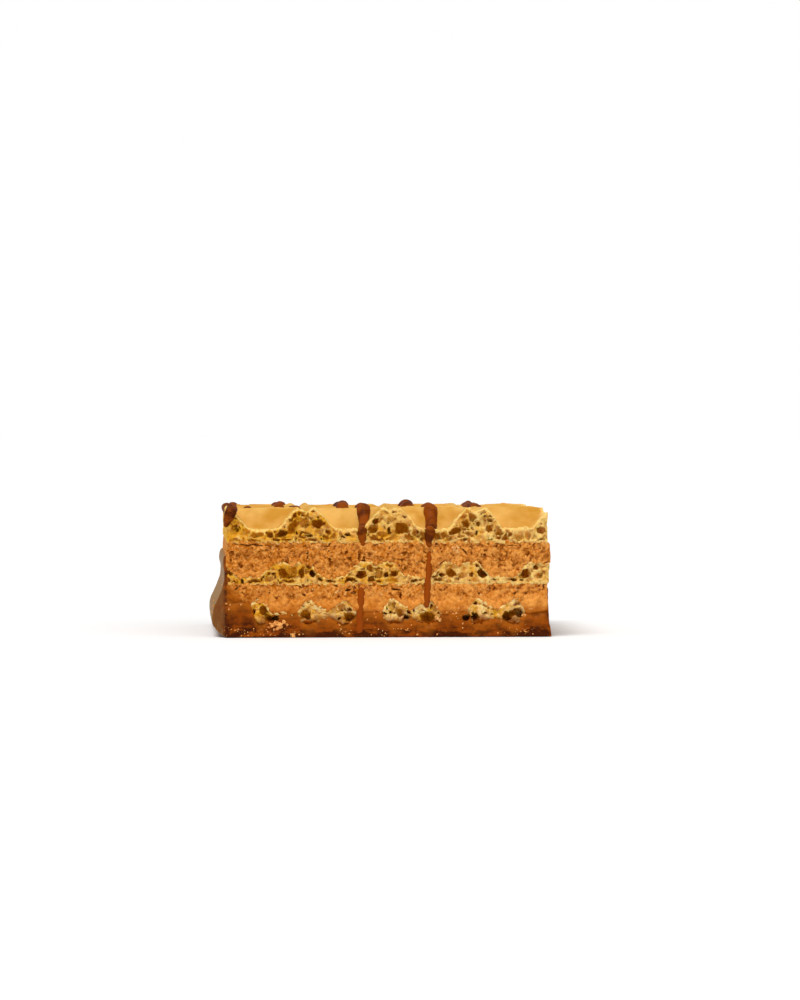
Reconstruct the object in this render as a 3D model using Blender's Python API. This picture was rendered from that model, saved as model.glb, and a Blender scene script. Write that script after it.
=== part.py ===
"""Wafer biscuit: the cut end of a wafer bar, three waffle sheets with two cocoa creams between them.

Each sheet is flat below and has square pans above, parted by ridges with a groove along their tops. The
creams fill the pans of the sheet under them. A chocolate base carries the stack and climbs its three factory
sides, and thin lines of chocolate cross the top. The fourth side, at y = 0 until the bar is centred, is the
cut, where the bubbles of the baked sheets lie open.

Metres, +Z up. The bar rests on z = 0 with its cut face towards -Y, centred over the origin.
"""

import math
import random

import bmesh
import bpy
from mathutils import Matrix, Vector

MM = 0.001

# The stack, before it is centred: x from its left side, y from the cut face, z from the floor.
STACK_WIDTH = 37.4 * MM
STACK_DEPTH = 29.0 * MM
GAP = 0.3 * MM
HALF_GAP = GAP / 2
PAN_PITCH = 9.82 * MM
OVERSHOOT = 0.5 * MM

# Sheets: bottom is the flat underside, web the thickness under a pan, ridge the pan's depth, pan_x and pan_y
# the first pan's centre, and groove the width and depth of the channel along each ridge.
SHEETS = {
    "wafer_top": {
        "sides": (0.0, 37.2 * MM),
        "bottom": 10.9 * MM,
        "web": 1.6 * MM,
        "ridge": 2.4 * MM,
        "pan_x": 4.25 * MM,
        "pan_y": 1.2 * MM,
        "mouth": 7.6 * MM,
        "floor": 3.3 * MM,
        "groove": (1.6 * MM, 0.5 * MM),
    },
    "wafer_middle": {
        "sides": (0.1 * MM, 37.4 * MM),
        "bottom": 6.1 * MM,
        "web": 0.9 * MM,
        "ridge": 1.75 * MM,
        "pan_x": 2.5 * MM,
        "pan_y": 0.6 * MM,
        "mouth": 6.0 * MM,
        "floor": 2.7 * MM,
        "groove": (1.9 * MM, 0.4 * MM),
    },
    "wafer_bottom": {
        "sides": (2.7 * MM, 34.5 * MM),
        "bottom": 1.6 * MM,
        "web": 1.25 * MM,
        "ridge": 1.5 * MM,
        "pan_x": 6.6 * MM,
        "pan_y": 0.9 * MM,
        "mouth": 4.9 * MM,
        "floor": 2.9 * MM,
        "groove": (4.0 * MM, 1.0 * MM),
    },
}

# Creams: the sheet below, the sheet above, the two sides, and how far the cream swells out of them.
CREAMS = {
    "cream_upper": {
        "below": "wafer_middle",
        "above": "wafer_top",
        "sides": (0.1 * MM, 37.3 * MM),
        "swell": 0.3 * MM,
    },
    "cream_lower": {
        "below": "wafer_bottom",
        "above": "wafer_middle",
        "sides": (0.2 * MM, 36.6 * MM),
        "swell": 0.0,
    },
}
CREAM_EDGE_ROUND = 0.8 * MM

# Chocolate base: how far it stands out of each side of the lower cream, at its fullest, and how high the
# chocolate has filled the broken edges of the bottom sheet.
RIM_HEIGHT = 5.8 * MM
RIM_WAVE = 0.12 * MM
BASE_SWELL = {"left": 1.2 * MM, "right": 0.9 * MM, "back": 1.0 * MM}
BASE_CORNER = 0.4 * MM
CORNER_FILL = 1.3
# Share of the full swell at each share of the rim's height.
BASE_PROFILE = ((0.0, 0.35), (0.06, 0.72), (0.18, 0.93), (0.4, 1.0), (0.65, 0.9), (0.85, 0.78), (1.0, 0.68))
BASE_CELL = 3.0 * MM
LEDGE_HEIGHTS = (3.9 * MM, 2.9 * MM)

# Chocolate lines: where each meets the plane of the cut, where along the bar it starts and ends, and its radius.
LINES = (
    (1.9 * MM, 6.6 * MM, 29.3 * MM, 0.6 * MM),
    (8.0 * MM, 6.2 * MM, 29.4 * MM, 0.65 * MM),
    (15.6 * MM, -1.0 * MM, 29.5 * MM, 0.65 * MM),
    (23.4 * MM, -1.0 * MM, 29.2 * MM, 0.85 * MM),
    (31.1 * MM, 7.4 * MM, 29.4 * MM, 0.6 * MM),
)
LINE_SLANT = -0.06
LINE_SINK = 0.35
LINE_STEP = 1.3 * MM
LINE_SWAY = 0.8 * MM
LINE_SWAY_LENGTH = 23.0 * MM
DRAPE_REACH = 0.7 * MM
CORNER_DRIP = {"centre": (0.4 * MM, 1.1 * MM, 13.9 * MM), "radii": (0.75 * MM, 1.5 * MM, 1.3 * MM)}

# Bubbles that the cut opens in each sheet.
BUBBLE_SEED = 7
BUBBLES_PER_SHEET = 24
BUBBLE_TRIES = 260
BUBBLE_WALL = 0.16 * MM
BUBBLE_RADII = (0.25 * MM, 0.85 * MM)
BUBBLE_SQUASH = (0.7, 1.0)
BUBBLE_TILT = 35.0
BUBBLE_DEPTH = 1.5
BUBBLE_SET_BACK = 0.35

COLOURS = {
    "wafer": ("E3B062", 0.75),
    "cream": ("B9743A", 0.65),
    "chocolate": ("5B2E12", 0.4),
}


def clear_scene():
    """Takes away every object, so that the model starts from nothing."""
    for item in list(bpy.data.objects):
        bpy.data.objects.remove(item)


def collection(name, hidden=False):
    """A collection of that name in the scene; a hidden one holds cutters."""
    made = bpy.data.collections.new(name)
    made.hide_render = hidden
    bpy.context.scene.collection.children.link(made)
    return made


def material(kind):
    """The Principled material of a wafer, a cream or the chocolate."""
    found = bpy.data.materials.get(kind)
    if found:
        return found
    made = bpy.data.materials.new(kind)
    made.use_nodes = True
    colour, roughness = COLOURS[kind]
    shader = made.node_tree.nodes["Principled BSDF"]
    channels = [int(colour[i : i + 2], 16) / 255 for i in (0, 2, 4)]
    linear = [c / 12.92 if c <= 0.04045 else ((c + 0.055) / 1.055) ** 2.4 for c in channels]
    shader.inputs["Base Color"].default_value = (*linear, 1.0)
    shader.inputs["Roughness"].default_value = roughness
    shader.inputs["Metallic"].default_value = 0.0
    return made


def moved_to(item, home):
    """Puts an object that an operator made into one collection alone."""
    for other in list(item.users_collection):
        other.objects.unlink(item)
    home.objects.link(item)
    return item


def as_cutter(item, home):
    """Marks an object as a guide that isn't part of the model."""
    item.hide_render = True
    item.display_type = "WIRE"
    return moved_to(item, home)


def box(name, low, high, home):
    """A box between two corners, with its size in its mesh."""
    low, high = Vector(low), Vector(high)
    bpy.ops.mesh.primitive_cube_add(size=1.0)
    made = bpy.context.object
    made.name = name
    made.data.transform(Matrix.Translation((low + high) / 2) @ Matrix.Diagonal((*(high - low), 1.0)))
    return moved_to(made, home)


def boolean(target, operation, other):
    """Adds a Boolean with one object or a whole collection."""
    change = target.modifiers.new(operation.lower(), "BOOLEAN")
    change.operation = operation
    change.solver = "EXACT"
    if isinstance(other, bpy.types.Collection):
        change.operand_type = "COLLECTION"
        change.collection = other
    else:
        change.object = other
    return change


def applied(item):
    """Turns an object's modifiers into its mesh, and keeps the largest of its bodies."""
    graph = bpy.context.evaluated_depsgraph_get()
    mesh = bpy.data.meshes.new_from_object(item.evaluated_get(graph))
    item.modifiers.clear()
    item.data = mesh
    drop_scraps(mesh)
    return item


def drop_scraps(mesh):
    """Leaves only the largest connected body of a mesh."""
    work = bmesh.new()
    work.from_mesh(mesh)
    waiting, bodies = set(work.verts), []
    while waiting:
        body, edge = set(), [waiting.pop()]
        while edge:
            vertex = edge.pop()
            body.add(vertex)
            near = {e.other_vert(vertex) for e in vertex.link_edges} & waiting
            waiting -= near
            edge.extend(near)
        bodies.append(body)
    bodies.sort(key=len, reverse=True)
    for scrap in bodies[1:]:
        bmesh.ops.delete(work, geom=list(scrap), context="VERTS")
    work.to_mesh(mesh)
    work.free()


def pan_centres(first, reach):
    """The pan centres from one before the first to the last that the stack's reach touches."""
    count = int((reach - first) / PAN_PITCH) + 2
    return [first + PAN_PITCH * i for i in range(-1, count)]


def pan_slope(sheet):
    """How far a pan's wall leans out for each metre that it climbs."""
    return (sheet["mouth"] - sheet["floor"]) / 2 / sheet["ridge"]


def surface_height(sheet, x, y):
    """Height of a sheet's waffled top over a point of the stack."""
    half_floor, slope = sheet["floor"] / 2, pan_slope(sheet)
    climbs = []
    for value, first in ((x, sheet["pan_x"]), (y, sheet["pan_y"])):
        off_centre = abs((value - first + PAN_PITCH / 2) % PAN_PITCH - PAN_PITCH / 2)
        climbs.append(min(max(off_centre - half_floor, 0.0) / slope, sheet["ridge"]))
    return sheet["bottom"] + sheet["web"] + max(climbs)


def pan_cutters(sheet, grow, home):
    """Truncated pyramids that press the pans; with grow they stay that far off the sheet's surface."""
    slope = pan_slope(sheet)
    lean = grow * math.sqrt(1 + slope * slope)
    low = sheet["bottom"] + sheet["web"] + grow
    high = sheet["bottom"] + sheet["web"] + sheet["ridge"] + grow + OVERSHOOT

    def half_width(z):
        return sheet["floor"] / 2 + (z - sheet["bottom"] - sheet["web"]) * slope - lean

    for x in pan_centres(sheet["pan_x"], sheet["sides"][1]):
        for y in pan_centres(sheet["pan_y"], STACK_DEPTH):
            bpy.ops.mesh.primitive_cone_add(
                vertices=4,
                radius1=half_width(low) * math.sqrt(2),
                radius2=half_width(high) * math.sqrt(2),
                depth=high - low,
            )
            pan = as_cutter(bpy.context.object, home)
            turn = Matrix.Rotation(math.pi / 4, 4, "Z")
            pan.data.transform(Matrix.Translation((x, y, (low + high) / 2)) @ turn)


def groove_cutters(sheet, grow, home):
    """V-shaped bars that press the groove along each ridge, both ways."""
    width, depth = sheet["groove"]
    lean = width / 2 / depth
    top = sheet["bottom"] + sheet["web"] + sheet["ridge"] + grow
    depth = depth + grow - grow * math.sqrt(1 + lean * lean) / lean
    length = 3 * sheet["sides"][1]
    for along_x in (True, False):
        first = sheet["pan_y"] if along_x else sheet["pan_x"]
        reach = STACK_DEPTH if along_x else sheet["sides"][1]
        for centre in pan_centres(first - PAN_PITCH / 2, reach):
            bpy.ops.mesh.primitive_cube_add(size=1.0)
            bar = as_cutter(bpy.context.object, home)
            half_diagonal = math.sqrt(0.5)
            size = Matrix.Diagonal((length, depth * lean / half_diagonal, depth / half_diagonal, 1.0))
            bar.data.transform(size @ Matrix.Rotation(math.pi / 4, 4, "X"))
            if not along_x:
                bar.data.transform(Matrix.Rotation(math.pi / 2, 4, "Z"))
            bar.data.transform(Matrix.Translation((0, centre, top) if along_x else (centre, 0, top)))


def cut_outline(sheet, count=240):
    """Points round a sheet's section at the cut, for finding how near the skin a bubble is."""
    left, right = sheet["sides"]
    xs = [left + (right - left) * i / count for i in range(count + 1)]
    top = [(x, surface_height(sheet, x, 0.0)) for x in xs]
    under = [(x, sheet["bottom"]) for x in xs]
    return top + under


def open_bubbles(sheet, seed):
    """Bubbles in a sheet's section at the cut, each in the roomiest of the places tried: x, z and radius."""
    draw = random.Random(seed)
    left, right = sheet["sides"]
    top = sheet["bottom"] + sheet["web"] + sheet["ridge"]
    smallest, largest = BUBBLE_RADII
    skin = cut_outline(sheet)
    found = []
    while len(found) < BUBBLES_PER_SHEET:
        best = (0.0, 0.0, 0.0)
        for _ in range(BUBBLE_TRIES):
            x, z = draw.uniform(left, right), draw.uniform(sheet["bottom"], top)
            if z > surface_height(sheet, x, 0.0):
                continue
            room = min([x - left, right - x] + [math.hypot(x - a, z - b) - r for a, b, r in found])
            if room > best[2] + BUBBLE_WALL:
                room = min(room, min(math.hypot(x - a, z - b) for a, b in skin))
            if room - BUBBLE_WALL > best[2]:
                best = (x, z, min(room - BUBBLE_WALL, largest))
        if best[2] < smallest:
            break
        found.append(best)
    return found


def bubble_cutters(sheet, seed, home):
    """Egg-shaped cutters, long into the bar, for the bubbles that lie open at the cut."""
    draw = random.Random(seed + 100)
    for x, z, radius in open_bubbles(sheet, seed):
        bpy.ops.mesh.primitive_ico_sphere_add(subdivisions=2, radius=radius)
        bubble = as_cutter(bpy.context.object, home)
        egg = Matrix.Diagonal((1.0, BUBBLE_DEPTH, draw.uniform(*BUBBLE_SQUASH), 1.0))
        tilt = Matrix.Rotation(math.radians(draw.uniform(-BUBBLE_TILT, BUBBLE_TILT)), 4, "Y")
        place = Matrix.Translation((x, radius * BUBBLE_SET_BACK, z))
        bubble.data.transform(place @ tilt @ egg)


def pressed_sheet(name, sheet, grow, home):
    """A sheet with its pans and grooves; with grow it is that much bigger all round."""
    left, right = sheet["sides"]
    top = sheet["bottom"] + sheet["web"] + sheet["ridge"] + grow
    reach = 2 * OVERSHOOT if grow else 0.0
    low = (left - reach, -reach, sheet["bottom"] + HALF_GAP - grow - reach)
    made = box(name, low, (right + reach, STACK_DEPTH + reach, top), home)
    cutters = collection(name + "_pans", hidden=True)
    pan_cutters(sheet, grow, cutters)
    groove_cutters(sheet, grow, cutters)
    boolean(made, "DIFFERENCE", cutters)
    return applied(made)


def line_path(start, first, last, radius):
    """Points of one chocolate line, draped over the top sheet."""
    sheet = SHEETS["wafer_top"]
    steps = max(2, round((last - first) / LINE_STEP))
    points = []
    for i in range(steps + 1):
        y = first + (last - first) * i / steps
        x = start + LINE_SLANT * y + LINE_SWAY * math.sin(2 * math.pi * y / LINE_SWAY_LENGTH)
        near = [(x + a * DRAPE_REACH, y + b * DRAPE_REACH) for a in (-1, 0, 1) for b in (-1, 0, 1)]
        height = sum(surface_height(sheet, a, b) for a, b in near) / len(near)
        points.append((x, y, height - LINE_SINK * radius))
    return points


def chocolate_line(points, radius, home):
    """A line of chocolate as a closed round bead along its points, thin at its ends."""
    curve = bpy.data.curves.new("chocolate_line", "CURVE")
    curve.dimensions = "3D"
    curve.bevel_depth = radius
    curve.bevel_resolution = 2
    curve.use_fill_caps = True
    spline = curve.splines.new("POLY")
    spline.points.add(len(points) - 1)
    for i, (point, place) in enumerate(zip(spline.points, points)):
        point.co = (*place, 1.0)
        point.radius = min(1.0, 0.6 + 0.2 * min(i, len(points) - 1 - i))
    guide = bpy.data.objects.new("chocolate_line", curve)
    home.objects.link(guide)
    mesh = bpy.data.meshes.new_from_object(guide.evaluated_get(bpy.context.evaluated_depsgraph_get()))
    work = bmesh.new()
    work.from_mesh(mesh)
    bmesh.ops.remove_doubles(work, verts=work.verts, dist=0.00001)
    work.to_mesh(mesh)
    work.free()
    bpy.data.objects.remove(guide)
    bead = bpy.data.objects.new("chocolate_bead", mesh)
    home.objects.link(bead)
    return as_cutter(bead, home)


def corner_drip(home):
    """The end of the leftmost line, run down the corner of the bar."""
    bpy.ops.mesh.primitive_uv_sphere_add(segments=12, ring_count=8, radius=1.0)
    drip = as_cutter(bpy.context.object, home)
    drip.data.transform(
        Matrix.Translation(CORNER_DRIP["centre"]) @ Matrix.Diagonal((*CORNER_DRIP["radii"], 1.0))
    )


def add_chocolate_lines(sheet_object, part):
    """Fuses the chocolate lines to the top sheet and cuts them off flush with the cut face."""
    beads = collection("chocolate_lines", hidden=True)
    for line in LINES:
        chocolate_line(line_path(*line), line[-1], beads)
    corner_drip(beads)
    boolean(sheet_object, "UNION", beads)
    applied(sheet_object)
    left, right = SHEETS["wafer_top"]["sides"]
    reach = 3.0 * MM
    bounds = box("bar_bounds", (left - reach, 0.0, 0.0), (right + reach, STACK_DEPTH + reach, 0.02), part)
    as_cutter(bounds, beads)
    for bead in [item for item in beads.objects if item != bounds]:
        bpy.data.objects.remove(bead)
    boolean(sheet_object, "INTERSECT", bounds)
    applied(sheet_object)


def make_sheets(part):
    """The three wafer sheets, with the bubbles that the cut opened."""
    for number, (name, sheet) in enumerate(SHEETS.items()):
        made = pressed_sheet(name, sheet, 0.0, part)
        if name == "wafer_top":
            add_chocolate_lines(made, part)
        bubbles = collection(name + "_bubbles", hidden=True)
        bubble_cutters(sheet, BUBBLE_SEED + number, bubbles)
        boolean(made, "DIFFERENCE", bubbles)
        applied(made).data.materials.append(material("wafer"))


def ledges():
    """The chocolate that stands in for the bottom sheet's two broken edges: low and high x, and its top."""
    left, right = SHEETS["wafer_bottom"]["sides"]
    reach = 3.0 * MM
    return ((-reach, left, LEDGE_HEIGHTS[0]), (right, STACK_WIDTH + reach, LEDGE_HEIGHTS[1]))


def make_cream(name, cream, part):
    """A cream: a slab with swollen sides, its underside cast on the sheet below."""
    below, above = SHEETS[cream["below"]], SHEETS[cream["above"]]
    swell = cream["swell"]
    left, right = cream["sides"]
    low = (left - swell, 0.0, below["bottom"] + below["web"])
    high = (right + swell, STACK_DEPTH + swell, above["bottom"] - HALF_GAP)
    made = box(name, low, high, part)
    if swell:
        work = bmesh.new()
        work.from_mesh(made.data)
        upper = [
            edge
            for edge in work.edges
            if all(vertex.co.z > low[2] + GAP for vertex in edge.verts)
            and any(vertex.co.y > GAP for vertex in edge.verts)
        ]
        bmesh.ops.bevel(
            work, geom=upper, offset=CREAM_EDGE_ROUND, segments=3, profile=0.5, affect="EDGES", clamp_overlap=True
        )
        work.to_mesh(made.data)
        work.free()
    moulds = collection(name + "_moulds", hidden=True)
    as_cutter(pressed_sheet(name + "_mould", below, GAP, part), moulds)
    if cream["below"] == "wafer_bottom":
        for start, end, top in ledges():
            ledge = box("ledge", (start, -OVERSHOOT, 0.0), (end, STACK_DEPTH + OVERSHOOT, top + HALF_GAP), part)
            as_cutter(ledge, moulds)
    boolean(made, "DIFFERENCE", moulds)
    applied(made).data.materials.append(material("cream"))


def swell_at(share):
    """Share of the base's full swell at a share of its height."""
    for (low, a), (high, b) in zip(BASE_PROFILE, BASE_PROFILE[1:]):
        if share <= high:
            return a + (b - a) * (share - low) / (high - low)
    return BASE_PROFILE[-1][1]


def side_normal(x, y, left, right):
    """Outward direction of the base's side at a point of its outline, round the two back corners."""
    inner = (min(max(x, left + BASE_CORNER), right - BASE_CORNER), min(y, STACK_DEPTH - BASE_CORNER))
    away = Vector((x - inner[0], y - inner[1]))
    return away.normalized() if away.length > GAP else Vector((0.0, 0.0))


def make_base(part):
    """The chocolate base: a swollen tray, open at the cut, that the stack stands in."""
    left, right = CREAMS["cream_lower"]["sides"]
    made = box("chocolate_base", (left, 0.0, 0.0), (right, STACK_DEPTH, RIM_HEIGHT), part)
    work = bmesh.new()
    work.from_mesh(made.data)
    corners = [
        edge
        for edge in work.edges
        if all(vertex.co.y > STACK_DEPTH / 2 for vertex in edge.verts)
        and abs(edge.verts[0].co.z - edge.verts[1].co.z) > GAP
    ]
    bmesh.ops.bevel(work, geom=corners, offset=BASE_CORNER, segments=4, profile=0.5, affect="EDGES")
    planes = [((0, 0, RIM_HEIGHT * share), (0, 0, 1)) for share, _ in BASE_PROFILE[1:-1]]
    for axis, low, high in ((0, left, right), (1, 0.0, STACK_DEPTH)):
        count = round((high - low) / BASE_CELL)
        normal = Vector((axis == 0, axis == 1, 0))
        planes += [(normal * (low + (high - low) * i / count), normal) for i in range(1, count)]
    for place, normal in planes:
        everything = work.verts[:] + work.edges[:] + work.faces[:]
        bmesh.ops.bisect_plane(work, geom=everything, dist=1e-6, plane_co=place, plane_no=normal)
    for vertex in work.verts:
        x, y, z = vertex.co
        normal = side_normal(x, y, left, right)
        side = "left" if normal.x < 0 else "right"
        share = swell_at(z / RIM_HEIGHT)
        if z > RIM_HEIGHT - GAP:
            vertex.co.z += RIM_WAVE * (math.sin(0.9 * x / MM) + math.sin(0.7 * y / MM + 1.0)) / 2
        vertex.co.x += math.copysign(BASE_SWELL[side] * share * min(1.0, abs(normal.x) * CORNER_FILL), normal.x)
        vertex.co.y += BASE_SWELL["back"] * share * min(1.0, normal.y * CORNER_FILL)
    work.to_mesh(made.data)
    work.free()
    hollows = collection("base_hollows", hidden=True)
    floor = SHEETS["wafer_bottom"]["bottom"] - HALF_GAP
    low, high = SHEETS["wafer_bottom"]["sides"]
    spans = [(low - GAP, high + GAP, floor)]
    spans += [(left - GAP, low, LEDGE_HEIGHTS[0] - HALF_GAP), (high, right + GAP, LEDGE_HEIGHTS[1] - HALF_GAP)]
    for start, end, bottom in spans:
        corners = ((start, -OVERSHOOT, bottom), (end, STACK_DEPTH + GAP, RIM_HEIGHT + OVERSHOOT))
        as_cutter(box("base_hollow", *corners, part), hollows)
    boolean(made, "DIFFERENCE", hollows)
    applied(made).data.materials.append(material("chocolate"))


def centre_over_origin(part):
    """Moves the whole bar so that its box is centred over the origin, standing on z = 0."""
    points = [vertex.co for item in part.objects for vertex in item.data.vertices]
    middle_x = (min(p.x for p in points) + max(p.x for p in points)) / 2
    middle_y = (min(p.y for p in points) + max(p.y for p in points)) / 2
    for item in part.objects:
        item.data.transform(Matrix.Translation((-middle_x, -middle_y, 0.0)))


def main():
    clear_scene()
    part = collection("wafer_biscuit")
    make_sheets(part)
    for name, cream in CREAMS.items():
        make_cream(name, cream, part)
    make_base(part)
    centre_over_origin(part)


main()
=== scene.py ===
"""Looks for the wafer biscuit: the cut end of a wafer bar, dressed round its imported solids.

The sheets, the creams and the chocolate are each grown from a field, a number for every point of the piece that is
above nought inside it. Geometry Nodes work that field out on a fine grid and wrap its surface in a mesh. All of
them are worked out in millimetres, in the bar's own axes: x from its left side, y from the cut face towards the
back and z up from the floor. The last nodes of each tree bring the mesh to metres and to its place.
"""

import functools
import math

import bpy
from bpy.props import FloatProperty, FloatVectorProperty, PointerProperty
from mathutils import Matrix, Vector


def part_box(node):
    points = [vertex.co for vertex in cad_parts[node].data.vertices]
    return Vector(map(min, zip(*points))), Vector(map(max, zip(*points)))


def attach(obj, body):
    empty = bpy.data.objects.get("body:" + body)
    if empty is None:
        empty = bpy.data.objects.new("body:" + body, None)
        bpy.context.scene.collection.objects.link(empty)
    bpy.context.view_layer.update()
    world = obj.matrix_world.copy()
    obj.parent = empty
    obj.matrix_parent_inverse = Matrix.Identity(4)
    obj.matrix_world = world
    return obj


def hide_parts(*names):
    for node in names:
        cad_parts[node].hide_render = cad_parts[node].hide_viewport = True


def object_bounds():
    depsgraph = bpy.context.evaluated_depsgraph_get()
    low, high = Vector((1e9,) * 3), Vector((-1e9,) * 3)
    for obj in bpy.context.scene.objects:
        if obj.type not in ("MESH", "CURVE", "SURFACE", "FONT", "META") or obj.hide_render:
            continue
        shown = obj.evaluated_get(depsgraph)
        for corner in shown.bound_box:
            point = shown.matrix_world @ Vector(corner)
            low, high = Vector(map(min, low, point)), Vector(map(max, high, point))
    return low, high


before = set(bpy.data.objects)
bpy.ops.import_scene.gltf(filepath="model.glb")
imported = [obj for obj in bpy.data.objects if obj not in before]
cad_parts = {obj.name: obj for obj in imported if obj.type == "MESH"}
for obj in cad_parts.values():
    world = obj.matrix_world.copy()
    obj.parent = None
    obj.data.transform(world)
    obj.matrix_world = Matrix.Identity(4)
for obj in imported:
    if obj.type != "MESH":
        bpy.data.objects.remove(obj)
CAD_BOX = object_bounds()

bl_info = {
    "name": "Wafer biscuit",
    "version": (1, 0, 0),
    "blender": (4, 5, 0),
    "location": "View3D > Sidebar > Wafer biscuit",
    "description": "Dresses the cut end of a cream-filled wafer bar: sheets, creams, chocolate and crumbs",
    "category": "Add Mesh",
}

MM = 0.001

# The middle sheet's left end is this far from the bar's left side.
MIDDLE_SHEET_LEFT = 0.1
MIDDLE_LOW, MIDDLE_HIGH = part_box("wafer_middle")
BAR_ORIGIN = Vector((MIDDLE_LOW[0] / MM - MIDDLE_SHEET_LEFT, MIDDLE_LOW[1] / MM, CAD_BOX[0][2] / MM))
DEPTH = (MIDDLE_HIGH[1] - MIDDLE_LOW[1]) / MM

# Each sheet, in mm, as its solid has it.
SHEETS = {
    "wafer_top": {
        "Left": 0.0,
        "Right": 37.2,
        "Bottom": 10.9,
        "Web": 1.6,
        "Ridge": 2.4,
        "Pan x": 4.25,
        "Pan y": 1.2,
        "Mouth": 7.6,
        "Floor": 3.3,
        "Groove width": 1.6,
        "Groove depth": 0.5,
        "Seed": 3.0,
    },
    "wafer_middle": {
        "Left": 0.1,
        "Right": 37.4,
        "Bottom": 6.1,
        "Web": 0.9,
        "Ridge": 1.75,
        "Pan x": 2.5,
        "Pan y": 0.6,
        "Mouth": 6.0,
        "Floor": 2.7,
        "Groove width": 1.9,
        "Groove depth": 0.4,
        "Seed": 5.0,
    },
    "wafer_bottom": {
        "Left": 2.7,
        "Right": 34.5,
        "Bottom": 1.6,
        "Web": 1.25,
        "Ridge": 1.5,
        "Pan x": 6.6,
        "Pan y": 0.9,
        "Mouth": 4.9,
        "Floor": 2.9,
        "Groove width": 4.0,
        "Groove depth": 1.0,
        "Seed": 7.0,
    },
}
CREAMS = {
    "cream_upper": {"below": "wafer_middle", "above": "wafer_top", "Left": 0.1, "Right": 37.3, "Swell": 0.3},
    "cream_lower": {"below": "wafer_bottom", "above": "wafer_middle", "Left": 0.1, "Right": 37.1, "Swell": 0.0},
}

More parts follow.
